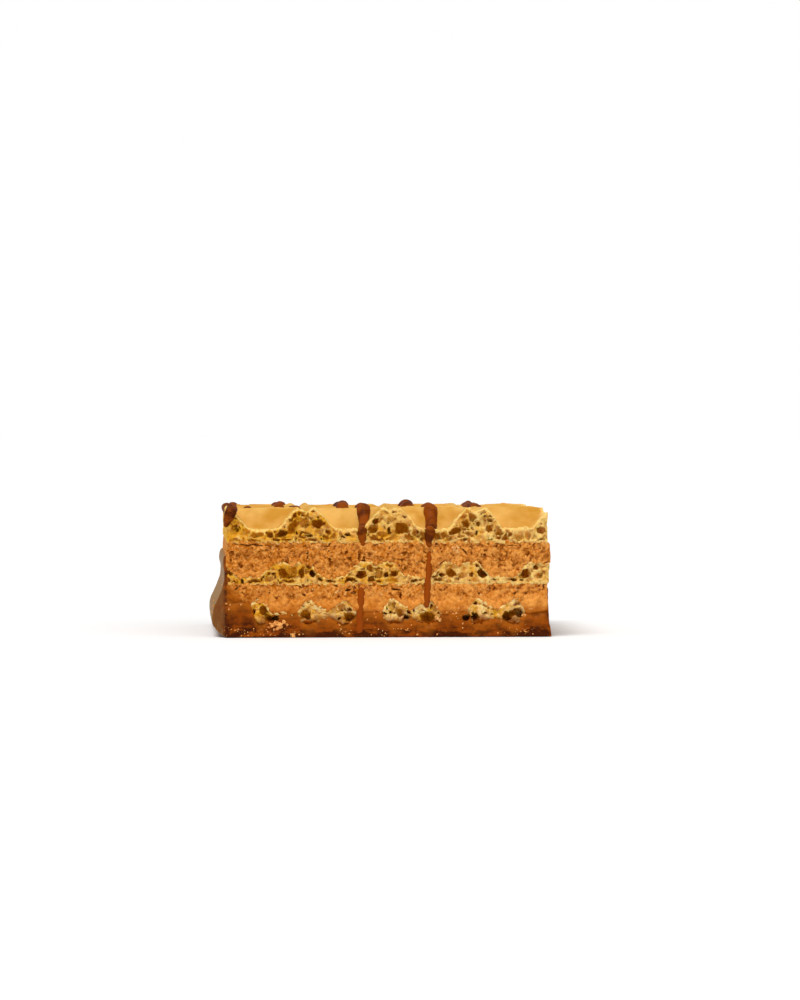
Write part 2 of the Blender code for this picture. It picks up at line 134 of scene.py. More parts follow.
# The large bubbles that the cut laid open in each sheet, in mm: across, up, half width, half height, how far it
# leans in degrees (up to the right), and half depth.
BUBBLES = {
    "wafer_top": (
        (1.0, 12.5, 0.8, 0.75, 0, 0.5),
        (3.6, 11.85, 0.8, 0.35, 0, 0.6),
        (6.45, 12.0, 0.8, 0.38, 15, 1.9),
        (7.65, 12.75, 0.5, 0.9, -25, 1.4),
        (8.95, 13.25, 0.7, 0.55, 10, 0.9),
        (10.55, 13.1, 0.85, 0.62, -12, 1.8),
        (11.75, 12.2, 0.42, 0.3, 0, 1.0),
        (9.6, 11.75, 0.55, 0.2, 0, 1.2),
        (13.9, 11.9, 0.5, 0.3, 0, 1.2),
        (17.15, 13.4, 0.42, 0.5, -10, 1.7),
        (16.95, 12.45, 0.65, 0.5, 0, 1.3),
        (18.0, 11.85, 0.6, 0.35, 0, 0.7),
        (18.75, 12.35, 0.3, 0.55, 0, 1.4),
        (18.9, 13.5, 0.6, 0.42, 15, 0.5),
        (20.1, 12.6, 0.95, 0.78, 5, 1.9),
        (20.6, 13.95, 0.2, 0.2, 0, 1.2),
        (21.85, 12.0, 0.5, 0.65, 0, 0.7),
        (22.15, 12.15, 0.23, 0.25, 0, 2.4),
        (26.4, 12.25, 0.85, 0.5, 12, 1.4),
        (27.65, 13.1, 0.5, 0.46, 0, 1.3),
        (27.9, 11.9, 0.65, 0.3, -8, 0.8),
        (29.0, 13.2, 0.55, 0.5, 0, 0.4),
        (30.35, 13.45, 0.38, 0.24, -12, 1.4),
        (30.4, 12.55, 0.52, 0.62, 0, 1.1),
        (31.5, 12.45, 0.5, 0.68, 0, 0.9),
        (30.95, 12.3, 0.13, 0.13, 0, 2.2),
        (32.75, 11.9, 0.3, 0.3, 0, 1.0),
        (36.35, 12.3, 0.52, 0.5, 0, 1.1),
    ),
    "wafer_middle": (
        (1.85, 6.5, 0.2, 0.5, 15, 1.6),
        (4.9, 6.65, 0.65, 0.3, 0, 0.6),
        (5.45, 7.3, 0.2, 0.22, 0, 2.2),
        (5.7, 6.95, 0.17, 0.17, 0, 2.2),
        (6.5, 7.45, 0.68, 0.62, 0, 1.6),
        (7.55, 7.6, 0.55, 0.8, 0, 0.8),
        (8.6, 7.45, 0.4, 0.65, 0, 1.4),
        (9.45, 8.2, 0.5, 0.3, -20, 1.1),
        (10.0, 7.45, 0.52, 0.5, 0, 2.2),
        (10.75, 6.75, 0.42, 0.36, 0, 1.3),
        (7.1, 6.6, 0.75, 0.22, 0, 1.1),
        (14.2, 6.62, 0.8, 0.24, 15, 1.4),
        (15.5, 7.2, 0.7, 0.48, 10, 1.8),
        (16.6, 8.0, 0.42, 0.55, 0, 0.9),
        (17.55, 7.3, 0.55, 0.55, 0, 0.7),
        (18.45, 7.3, 0.38, 0.4, 0, 1.5),
        (19.35, 7.35, 0.5, 0.42, 0, 1.3),
        (21.8, 6.62, 0.65, 0.22, 15, 1.3),
        (24.8, 7.2, 0.48, 0.28, 0, 1.3),
        (26.0, 7.4, 0.6, 0.52, 0, 1.5),
        (27.15, 7.15, 0.5, 0.42, 0, 0.7),
        (28.3, 7.15, 0.32, 0.32, 0, 1.1),
        (29.6, 7.35, 0.72, 0.6, 0, 2.0),
        (31.0, 6.9, 0.38, 0.28, 0, 1.3),
        (33.1, 6.72, 0.55, 0.25, 0, 1.1),
        (34.5, 7.35, 0.62, 0.62, 0, 1.7),
        (35.7, 8.1, 0.38, 0.36, 0, 1.1),
        (36.2, 7.1, 0.52, 0.42, 0, 0.8),
    ),
    "wafer_bottom": (
        (4.4, 3.12, 0.62, 0.66, 0, 1.4),
        (4.9, 2.25, 0.45, 0.4, 0, 1.4),
        (5.6, 2.2, 0.5, 0.35, 25, 2.2),
        (9.1, 2.65, 0.68, 0.66, 0, 1.3),
        (12.95, 2.05, 0.22, 0.24, 0, 2.2),
        (14.1, 2.35, 0.72, 0.56, 0, 1.4),
        (18.9, 3.0, 0.24, 0.2, 0, 1.6),
        (20.0, 2.9, 0.42, 0.8, 25, 1.0),
        (20.75, 2.3, 0.42, 0.36, 0, 1.5),
        (23.2, 2.35, 0.98, 0.68, 0, 1.6),
        (23.7, 3.5, 0.26, 0.4, -15, 1.1),
        (27.65, 2.25, 0.5, 0.42, 0, 2.0),
        (28.7, 2.4, 0.52, 0.5, 0, 2.0),
        (28.75, 3.9, 0.26, 0.26, 0, 1.1),
        (32.45, 2.35, 0.55, 0.62, 25, 2.2),
        (33.25, 2.9, 0.8, 0.48, 5, 2.4),
        (33.85, 2.75, 0.45, 0.54, 0, 2.2),
    ),
}
# Cracks where a cream broke or came away from a sheet, as the bubbles are given.
CRACKS = {
    "cream_upper": (
        (3.0, 10.7, 2.7, 0.08, -2, 0.6),
        (20.5, 8.95, 1.5, 0.06, -6, 0.35),
        (27.5, 9.85, 0.6, 0.07, -50, 0.5),
        (15.3, 9.3, 0.2, 0.8, 0, 0.45),
        (15.6, 8.6, 0.5, 0.16, 40, 0.8),
        (33.0, 10.55, 0.8, 0.06, 0, 0.45),
        (31.8, 8.85, 1.0, 0.06, 0, 0.3),
    ),
    "cream_lower": (
        (1.2, 5.6, 0.35, 0.1, 30, 0.6),
        (19.5, 5.55, 0.6, 0.12, 0, 0.7),
        (14.0, 5.5, 0.4, 0.14, 10, 0.8),
        (20.1, 4.8, 0.1, 0.5, 0, 0.5),
        (8.9, 4.9, 0.35, 0.07, -30, 0.5),
    ),
}

# Chocolate lines over the top sheet, in mm: across at the cut, first y, last y, radius, radius where they start, and
# the places down the cut that two of them ran on to, from the foot up, with the radius there.
# They lean a little to the left towards the back, and sway.
LINES = (
    (2.2, 6.6, 28.9, 0.6, 0.52, ()),
    (8.0, 6.2, 28.9, 0.65, 0.6, ()),
    (
        15.6,
        0.8,
        28.9,
        0.84,
        0.56,
        (
            ((15.72, 0.26, 10.85), 0.36),
            ((15.7, 0.28, 11.15), 0.44),
            ((15.68, 0.3, 11.5), 0.53),
            ((15.65, 0.36, 11.85), 0.6),
            ((15.64, 0.42, 12.2), 0.62),
        ),
    ),
    (
        23.4,
        0.8,
        28.9,
        0.9,
        0.52,
        (
            ((23.35, 0.1, 10.65), 0.34),
            ((23.35, 0.15, 11.0), 0.4),
            ((23.37, 0.22, 11.4), 0.46),
            ((23.4, 0.32, 11.8), 0.54),
            ((23.4, 0.42, 12.25), 0.64),
        ),
    ),
    (31.1, 7.4, 28.9, 0.6, 0.5, ()),
)
LINE_SLANT = -0.06
LINE_SWAY = 0.8
LINE_SWAY_LENGTH = 23.0
LINE_STEP = 0.3
# A line lies in the sheet by this share of its radius, and by this much more where it starts; it is at its full
# radius this many mm on.
LINE_SINK = 0.45
LINE_START_SINK = 0.25
LINE_TAPER = 4.0
# Chocolate dragged down the cut by the knife: places down it, across and up, and its half width there, in mm.
STREAKS = (
    ((15.5, 5.5, 0.25), (15.5, 5.1, 0.38), (15.42, 3.0, 0.36), (15.35, 0.9, 0.36)),
    ((23.4, 9.8, 0.16), (23.38, 9.2, 0.3), (23.25, 6.5, 0.34), (23.05, 3.8, 0.3)),
)
# A streak's radius is this many times its half width, and it stands this many mm out of the cut.
STREAK_SPREAD = 1.25
STREAK_PROUD = 0.07
# The drip at the top left corner: places along it and its radius there, in mm.
CORNER_DRIP = (
    ((0.9, 2.2, 14.75), 0.5),
    ((0.65, 1.1, 14.75), 0.6),
    ((0.5, 0.4, 14.4), 0.66),
    ((0.36, 0.3, 13.8), 0.6),
    ((0.14, 0.36, 13.35), 0.45),
    ((0.0, 0.45, 13.05), 0.33),
)

# Chocolate is rubbed over the cut up to this height in mm where the bottom sheet is thin. Nothing else is rubbed.
RUBBED = 2.95
UNRUBBED = -9.0
# The rubbed layer is this thick in mm, and thins out between these two, in mm below its ragged edge.
RUBBED_DEPTH = 0.36
RUBBED_FADE = (-0.2, 0.7)
# How far the coat's sides swell, as shares of their most, by shares of the coat's height.
SIDE_PROFILE = (
    (0.0, 0.1),
    (0.03, 0.33),
    (0.095, 0.72),
    (0.21, 1.0),
    (0.32, 0.96),
    (0.43, 0.73),
    (0.56, 0.45),
    (0.76, 0.2),
    (0.9, 0.3),
    (1.0, 0.08),
)

# Large crumbs: how much of each kind is wafer; and for each, in mm, across, in from the cut, up, and radius.
CLUMPS = {
    "crumbs_of_cream_at_foot": (
        0.45,
        (
            (5.3, 0.02, 1.4, 0.24),
            (5.72, -0.05, 1.72, 0.3),
            (6.18, 0.0, 1.45, 0.27),
            (6.62, 0.0, 1.85, 0.2),
            (5.95, -0.05, 1.12, 0.22),
            (5.45, 0.0, 1.0, 0.15),
            (6.95, 0.0, 1.55, 0.13),
        ),
    ),
    "crumbs_of_wafer_at_foot": (0.8, ((7.7, 0.1, 0.22, 0.24), (7.3, 0.1, 0.16, 0.13))),
    "crumbs_of_wafer_on_sheet": (1.0, ((24.3, 0.1, 2.2, 0.24), (24.52, 0.12, 1.95, 0.17))),
    "crumbs_of_wafer_in_cream": (0.9, ((26.25, 0.1, 10.25, 0.32), (26.55, 0.08, 9.9, 0.26), (26.7, 0.1, 10.4, 0.16))),
    "crumbs_of_wafer_under_sheet": (0.6, ((10.6, 0.08, 10.62, 0.2), (10.3, 0.1, 10.45, 0.14))),
}

# The grid that they are grown on, and the least height that keeps them off the floor, in mm.
CLUMP_CELL = 0.06
CLUMP_LOWEST = 0.02

MATH = "ShaderNodeMath"
VECTOR = "ShaderNodeVectorMath"
RANGE = "ShaderNodeMapRange"
SPLIT = "ShaderNodeSeparateXYZ"
NOISE = "ShaderNodeTexNoise"
VORONOI = "ShaderNodeTexVoronoi"
GROUP = "GeometryNodeGroup"
MIX = "ShaderNodeMix"
# What a noise colour is on average, so that taking it off leaves a push either way.
MID_GREY = (0.5, 0.5, 0.5)


def linear(code):
    """A colour given as an sRGB hex code, in linear values."""
    channels = [int(code[i : i + 2], 16) / 255 for i in (0, 2, 4)]
    return tuple(c / 12.92 if c <= 0.04045 else ((c + 0.055) / 1.055) ** 2.4 for c in channels)


def colour(name, description, code):
    """A colour that the sidebar shows."""
    return FloatVectorProperty(
        name=name, description=description, subtype="COLOR", size=3, min=0.0, max=1.0, default=linear(code)
    )


def millimetres(name, description, default):
    """A size in millimetres that the sidebar shows."""
    return FloatProperty(name=name, description=description + ", in mm", default=default, min=0.0, precision=3)


def add(tree, kind, feeds=(), out=0, **settings):
    """Adds a node with its settings, feeds its inputs, and returns one of its outputs, or all if out is None.

    feeds is a list for the first inputs, or a dictionary by an input's name or number. Each is a socket to link, a
    value, or None to leave the input alone."""
    made = tree.nodes.new(kind)
    for name, value in settings.items():
        setattr(made, name, value)
    for key, value in feeds.items() if isinstance(feeds, dict) else enumerate(feeds):
        if isinstance(value, bpy.types.NodeSocket):
            tree.links.new(value, made.inputs[key])
        elif value is not None:
            made.inputs[key].default_value = value
    return made.outputs if out is None else made.outputs[out]


# ---------------------------------------------------------------------------------------------------------------
# Trees for the shapes


def start_tree(name, inputs, outputs):
    """A Geometry Nodes tree with named inputs and outputs: the tree, its inputs' sockets, and its output node."""
    tree = bpy.data.node_groups.new(name, "GeometryNodeTree")
    for label, kind in inputs.items():
        tree.interface.new_socket(label, in_out="INPUT", socket_type="NodeSocket" + kind)
    for label, kind in outputs.items():
        tree.interface.new_socket(label, in_out="OUTPUT", socket_type="NodeSocket" + kind)
    given = add(tree, "NodeGroupInput", out=None)
    return tree, {label: given[label] for label in inputs}, tree.nodes.new("NodeGroupOutput")


@functools.cache
def uneven_tree():
    """Noise in mm either way of nought; its waves are about 1 / Scale mm long."""
    inputs = dict.fromkeys(("Scale", "Detail", "Roughness", "Middle", "Size", "Seed"), "Float")
    tree, given, end = start_tree("uneven", {"Point": "Vector", **inputs}, {"Value": "Float"})
    put = functools.partial(add, tree)
    apart = put(VECTOR, {0: (13.1, 7.7, 19.3), "Scale": given["Seed"]}, operation="SCALE")
    point = put(VECTOR, [given["Point"], apart], operation="ADD")
    wave = put(NOISE, {"Vector": point, **{name: given[name] for name in ("Scale", "Detail", "Roughness")}})
    wave = put(MATH, [wave, given["Middle"]], operation="SUBTRACT")
    wave = put(MATH, [wave, given["Size"]], operation="MULTIPLY")
    tree.links.new(wave, end.inputs["Value"])
    return tree


def waves(point, scale, size, detail=2.0, roughness=0.5, middle=0.5, seed=0.0):
    """Feeds for the uneven tree."""
    return {
        "Point": point,
        "Scale": scale,
        "Detail": detail,
        "Roughness": roughness,
        "Middle": middle,
        "Size": size,
        "Seed": seed,
    }


WAFFLE_NAMES = ("Bottom", "Web", "Ridge", "Pan x", "Pan y", "Pitch", "Mouth", "Floor", "Groove width", "Groove depth")
WAFFLE_INPUTS = dict.fromkeys((*WAFFLE_NAMES, "Waviness", "Seed"), "Float")
RUBBED_INPUTS = dict.fromkeys(("Rubbed", "End"), "Float")


def waffle(point, given, more=()):
    """Feeds for a tree that reads a sheet's pressed top, passed on from the inputs of the tree that holds it."""
    return {"Point": point, **{label: given[label] for label in (*WAFFLE_INPUTS, *more)}}


@functools.cache
def waffle_height_tree():
    """Height of a sheet's pressed top over a point: pans with sloping walls, and a groove along each ridge."""
    tree, given, end = start_tree("waffle_height", {"Point": "Vector", **WAFFLE_INPUTS}, {"Height": "Float"})
    put = functools.partial(add, tree)
    half_pitch = put(MATH, [given["Pitch"], 0.5], operation="MULTIPLY")
    highest = put("ShaderNodeCombineXYZ", [half_pitch, half_pitch, 1000.0])
    lowest = put(VECTOR, {0: highest, "Scale": -1.0}, operation="SCALE")
    first_pan = put("ShaderNodeCombineXYZ", [given["Pan x"], given["Pan y"], 0.0])
    wander = put(NOISE, {"Vector": given["Point"], "W": given["Seed"], "Scale": 0.35}, "Color", noise_dimensions="4D")
    wander = put(VECTOR, [wander, MID_GREY], operation="SUBTRACT")
    wander = put(VECTOR, {0: wander, "Scale": given["Waviness"]}, operation="SCALE")
    place = put(VECTOR, [given["Point"], first_pan], operation="SUBTRACT")
    place = put(VECTOR, [place, wander], operation="ADD")
    place = put(VECTOR, [place, highest, lowest], operation="WRAP")
    off = put(SPLIT, [put(VECTOR, [place], operation="ABSOLUTE")], None)
    lip = put(MATH, [given["Mouth"], 0.5], operation="MULTIPLY")
    foot = put(MATH, [given["Floor"], 0.5], operation="MULTIPLY")
    brink = put(MATH, [given["Groove width"], 0.5], operation="MULTIPLY")
    brink = put(MATH, [half_pitch, brink], operation="SUBTRACT")
    climbs = [put(RANGE, [off[axis], foot, lip, 0.0, given["Ridge"]], clamp=False) for axis in (0, 1)]
    grooves = [put(RANGE, [off[axis], brink, half_pitch, 0.0, given["Groove depth"]]) for axis in (0, 1)]
    climb = put(MATH, [*climbs, 0.4], operation="SMOOTH_MAX")
    climb = put(MATH, [climb, 0.0, 0.35], operation="SMOOTH_MAX")
    climb = put(MATH, [climb, given["Ridge"], 0.3], operation="SMOOTH_MIN")
    groove = put(MATH, grooves, operation="MAXIMUM")
    height = put(MATH, [climb, groove], operation="SUBTRACT")
    for more in (given["Web"], given["Bottom"], put(SPLIT, [wander], "Z")):
        height = put(MATH, [height, more], operation="ADD")
    tree.links.new(height, end.inputs["Height"])
    return tree


@functools.cache
def true_point_tree():
    """A grid point's true place in the bar: the grid is fine near the cut, and stretched more and more behind."""
    tree, given, end = start_tree("true_point", {"Fine": "Float", "Stretch": "Float"}, {"Point": "Vector"})
    put = functools.partial(add, tree)
    x, y, z = put(SPLIT, [put("GeometryNodeInputPosition")], None)
    behind = put(MATH, [y, given["Fine"]], operation="SUBTRACT")
    behind = put(MATH, [behind, 0.0], operation="MAXIMUM")
    behind = put(MATH, [behind, 2.0], operation="POWER")
    y = put(MATH, [behind, given["Stretch"], y], operation="MULTIPLY_ADD")
    tree.links.new(put("ShaderNodeCombineXYZ", [x, y, z]), end.inputs["Point"])
    return tree


@functools.cache
def marked_tree():
    """How far a point is inside the nearest marked hollow or bead, in mm: below nought outside it."""
    tree, given, end = start_tree("marked", {"Marks": "Geometry", "Point": "Vector"}, {"Inside": "Float"})
    put = functools.partial(add, tree)
    nearest = put("GeometryNodeSampleNearest", [given["Marks"], given["Point"]])
    read = functools.partial(put, "GeometryNodeSampleIndex", data_type="FLOAT_VECTOR")
    size = put("GeometryNodeInputNamedAttribute", {"Name": "size"}, data_type="FLOAT_VECTOR")
    lean = put("GeometryNodeInputNamedAttribute", {"Name": "lean"}, data_type="FLOAT_VECTOR")
    centre = read({0: given["Marks"], 1: put("GeometryNodeInputPosition"), 2: nearest})
    size = read({0: given["Marks"], 1: size, 2: nearest})
    lean = read({0: given["Marks"], 1: lean, 2: nearest})
    off = put(VECTOR, [given["Point"], centre], operation="SUBTRACT")
    off = put("ShaderNodeVectorRotate", {"Vector": off, "Rotation": lean}, rotation_type="EULER_XYZ")
    off = put(VECTOR, [off, size], operation="DIVIDE")
    reach = put(VECTOR, [off], "Value", operation="LENGTH")
    x, _, z = put(SPLIT, [size], None)
    least = put(MATH, [x, z], operation="MINIMUM")
    inside = put(MATH, [1.0, reach], operation="SUBTRACT")
    inside = put(MATH, [inside, least], operation="MULTIPLY")
    tree.links.new(inside, end.inputs["Inside"])
    return tree


@functools.cache
def foam_tree():
    """Bubbles packed side by side: how far a point is inside one, in mm, and below nought in the walls."""
    inputs = dict.fromkeys(("Spacing", "Least", "Most", "Wall", "Seed"), "Float")
    tree, given, end = start_tree("foam", {"Point": "Vector", **inputs}, {"Inside": "Float"})
    put = functools.partial(add, tree)
    apart = put(VECTOR, {0: (5.3, 11.9, 3.7), "Scale": given["Seed"]}, operation="SCALE")
    point = put(VECTOR, [given["Point"], (1.0, 0.8, 1.25), apart], operation="MULTIPLY_ADD")
    feeds = {"Vector": point, "Scale": put(MATH, [1.0, given["Spacing"]], operation="DIVIDE")}
    distance, draw, _, _, _ = put(VORONOI, feeds, None, feature="F1")
    wall = put(VORONOI, feeds, "Distance", feature="DISTANCE_TO_EDGE")
    draw = put(SPLIT, [draw], "X")
    radius = put(RANGE, [draw, 0.0, 1.0, given["Least"], given["Most"]])
    inside = put(MATH, [radius, distance], operation="SUBTRACT")
    inside = put(MATH, [inside, given["Spacing"]], operation="MULTIPLY")
    wall = put(MATH, [wall, given["Spacing"]], operation="MULTIPLY")
    wall = put(MATH, [wall, given["Wall"]], operation="SUBTRACT")
    inside = put(MATH, [inside, wall, 0.1], operation="SMOOTH_MIN")
    tree.links.new(inside, end.inputs["Inside"])
    return tree


@functools.cache
def rubbed_edge_tree():
    """How far a point is below the ragged edge of the chocolate that the knife rubbed up over the cut's foot."""
    inputs = {"Point": "Vector", **RUBBED_INPUTS, **WAFFLE_INPUTS}
    tree, given, end = start_tree("rubbed_edge", inputs, {"Below": "Float"})
    put = functools.partial(add, tree)
    height = put(GROUP, waffle(given["Point"], given), node_tree=waffle_height_tree())
    height = put(MATH, [height, given["Web"]], operation="SUBTRACT")
    height = put(MATH, [height, given["Bottom"]], operation="SUBTRACT")
    edge = put(MATH, [height, -0.9, given["Rubbed"]], operation="MULTIPLY_ADD")
    x, _, z = put(SPLIT, [given["Point"]], None)
    edge = put(MATH, [edge, z], operation="SUBTRACT")
    # It goes higher over the sheet's left end.
    past = put(MATH, [x, given["End"]], operation="SUBTRACT")
    edge = put(MATH, [edge, put(RANGE, [past, 0.0, 1.0, 2.0, 0.0])], operation="ADD")
    ragged = put(GROUP, waves(given["Point"], 0.7, 1.9, 5.0, 0.7), node_tree=uneven_tree())
    tree.links.new(put(MATH, [edge, ragged], operation="ADD"), end.inputs["Below"])
    return tree


def within_sides(put, x, y, given):
    """How far a point is inside a layer's left, right and back sides, in mm."""
    left = put(MATH, [x, given["Left"]], operation="SUBTRACT")
    right = put(MATH, [given["Right"], x], operation="SUBTRACT")
    back = put(MATH, [given["Depth"], y], operation="SUBTRACT")
    sides = put(MATH, [left, right], operation="MINIMUM")
    return put(MATH, [sides, back], operation="MINIMUM")


GRID_INPUTS = {
    "Marks": "Geometry",
    "Low": "Vector",
    "High": "Vector",
    "Grid x": "Int",
    "Grid y": "Int",
    "Grid z": "Int",
    "Fine": "Float",
    "Stretch": "Float",
    "Material": "Material",
}


def wrap(tree, given, end, field, notes):
    """The end of every grown piece's tree: the field's surface as a mesh, with its notes, in metres and in place."""
    put = functools.partial(add, tree)
    density = put(MATH, [field, 0.5], operation="ADD")
    corners = [given[name] for name in ("Low", "High", "Grid x", "Grid y", "Grid z")]
    volume = put("GeometryNodeVolumeCube", [density, 0.0, *corners])
    mesh = put("GeometryNodeVolumeToMesh", {"Volume": volume, "Threshold": 0.5, "Adaptivity": 0.02})
    for name, value in notes.items():
        mesh = put("GeometryNodeStoreNamedAttribute", {"Geometry": mesh, "Name": name, "Value": value})
    point = put(GROUP, [given["Fine"], given["Stretch"]], node_tree=true_point_tree())
    mesh = put("GeometryNodeSetPosition", {"Geometry": mesh, "Position": point})
    place = {"Translation": tuple(BAR_ORIGIN * MM), "Scale": (MM, MM, MM)}
    mesh = put("GeometryNodeTransform", {"Geometry": mesh, **place})
    mesh = put("GeometryNodeSetShadeSmooth", {"Geometry": mesh})
    mesh = put("GeometryNodeRealizeInstances", [mesh])
    mesh = put("GeometryNodeSetMaterial", {"Geometry": mesh, "Material": given["Material"]})
    tree.links.new(mesh, end.inputs["Geometry"])


@functools.cache
def sheet_tree():
    """A waffle sheet: pans above, flat below, with the foam inside laid open at the cut."""
    names = ("Left", "Right", "Depth", "Bubble", "Skin", "Torn", "Closed below", "Rubbed", "End")
    inputs = dict.fromkeys(names, "Float")
    tree, given, end = start_tree("waffle_sheet", {**GRID_INPUTS, **WAFFLE_INPUTS, **inputs}, {"Geometry": "Geometry"})
    put = functools.partial(add, tree)
    uneven = functools.partial(put, GROUP, node_tree=uneven_tree())
    point = put(GROUP, [given["Fine"], given["Stretch"]], node_tree=true_point_tree())
    x, y, z = put(SPLIT, [point], None)
    seed = given["Seed"]
    height = put(GROUP, waffle(point, given), node_tree=waffle_height_tree())
    top = put(MATH, [height, z], operation="SUBTRACT")
    top = put(MATH, [top, 0.8], operation="MULTIPLY")
    under = put(MATH, [z, given["Bottom"]], operation="SUBTRACT")
    under = put(MATH, [under, uneven(waves(point, 0.5, 0.3, seed=seed))], operation="ADD")
    # Both skins are chipped where the knife broke them.
    chipped = uneven(waves(point, 1.6, 1.3, 5.0, 0.72, 0.47, seed))
    chipped = put(MATH, [chipped, put(RANGE, [y, 0.2, 1.2, 1.0, 0.0])], operation="MULTIPLY")
    skins = put(MATH, [top, under, 0.2], operation="SMOOTH_MIN")
    skins = put(MATH, [skins, chipped], operation="ADD")
    sides = within_sides(put, x, y, given)
    sides = put(MATH, [sides, uneven(waves(point, 1.2, 0.4, 3.0, middle=0.62))], operation="ADD")
    body = put(MATH, [skins, sides, 0.4], operation="SMOOTH_MIN")
    torn = uneven(waves(point, 1.1, given["Torn"], 5.0, 0.7, 0.44, seed))
    crumbly = uneven(waves(point, 2.5, 1.5, 4.0, 0.7, 0.5, seed))
    crumbly = put(MATH, [crumbly, -0.06, 0.06], operation="SMOOTH_MAX")
    front = put(MATH, [y, torn], operation="SUBTRACT")
    front = put(MATH, [front, crumbly], operation="SUBTRACT")
    # It lies back where chocolate was rubbed over it.
    below = put(GROUP, waffle(point, given, RUBBED_INPUTS), node_tree=rubbed_edge_tree())
    front = put(MATH, [front, put(RANGE, [below, *RUBBED_FADE, 0.0, RUBBED_DEPTH])], operation="SUBTRACT")
    body = put(MATH, [body, front, 0.1], operation="SMOOTH_MIN")
    bend = put(NOISE, {"Vector": point, "Scale": 1.0, "Detail": 5.0, "Roughness": 0.62}, "Color")
    bend = put(VECTOR, [bend, MID_GREY], operation="SUBTRACT")
    bent = put(VECTOR, [bend, (1.15, 0.8, 1.15), point], operation="MULTIPLY_ADD")
    laid_open = put(GROUP, [given["Marks"], bent], node_tree=marked_tree())
    laid_open = put(MATH, [laid_open, uneven(waves(point, 2.4, 0.55, 3.0, 0.65, 0.5, seed))], operation="ADD")
    foam = functools.partial(put, GROUP, node_tree=foam_tree())
    small = put(MATH, [given["Bubble"], 0.4], operation="MULTIPLY")
    calm = uneven(waves(point, 0.5, 1.6, 2.0, middle=0.52, seed=seed))
    middling = foam([bent, given["Bubble"], 0.3, 0.8, 0.06, seed])
    middling = put(MATH, [middling, put(MATH, [calm, 0.25], operation="ADD")], operation="MINIMUM")
    shallow = put(MATH, [1.3, y], operation="SUBTRACT")
    middling = put(MATH, [middling, shallow, 0.8], operation="SMOOTH_MIN")
    fine = foam([bent, small, 0.05, 0.5, 0.08, seed])
    shallow = put(MATH, [0.45, y], operation="SUBTRACT")
    fine = put(MATH, [fine, shallow, 0.3], operation="SMOOTH_MIN")
    bubbles = put(MATH, [middling, fine], operation="MAXIMUM")
    # Clear of the large bubbles, so that each keeps its wall.
    clear = put(MATH, [-0.12, laid_open], operation="SUBTRACT")
    bubbles = put(MATH, [bubbles, clear, 0.08], operation="SMOOTH_MIN")
    low = put(MATH, [z, given["Closed below"]], operation="SUBTRACT")
    bubbles = put(MATH, [bubbles, low], operation="MINIMUM")
    bubbles = put(MATH, [bubbles, laid_open], operation="MAXIMUM")
    skin = uneven(waves(point, 0.9, 0.35, 1.0, middle=0.5, seed=seed))
    skin = put(MATH, [skin, given["Skin"]], operation="ADD")
    within = put(MATH, [skins, skin], operation="SUBTRACT")
    bubbles = put(MATH, [bubbles, within, 0.1], operation="SMOOTH_MIN")
    near = put(MATH, [2.4, y], operation="SUBTRACT")
    bubbles = put(MATH, [bubbles, near], operation="MINIMUM")
    bubbles = put(MATH, [bubbles, -1.0], operation="MULTIPLY")
    field = put(MATH, [body, bubbles, 0.16], operation="SMOOTH_MIN")
    wrap(tree, given, end, field, {"skin": skins, "inward": put(MATH, [y, sides], operation="MINIMUM")})
    return tree


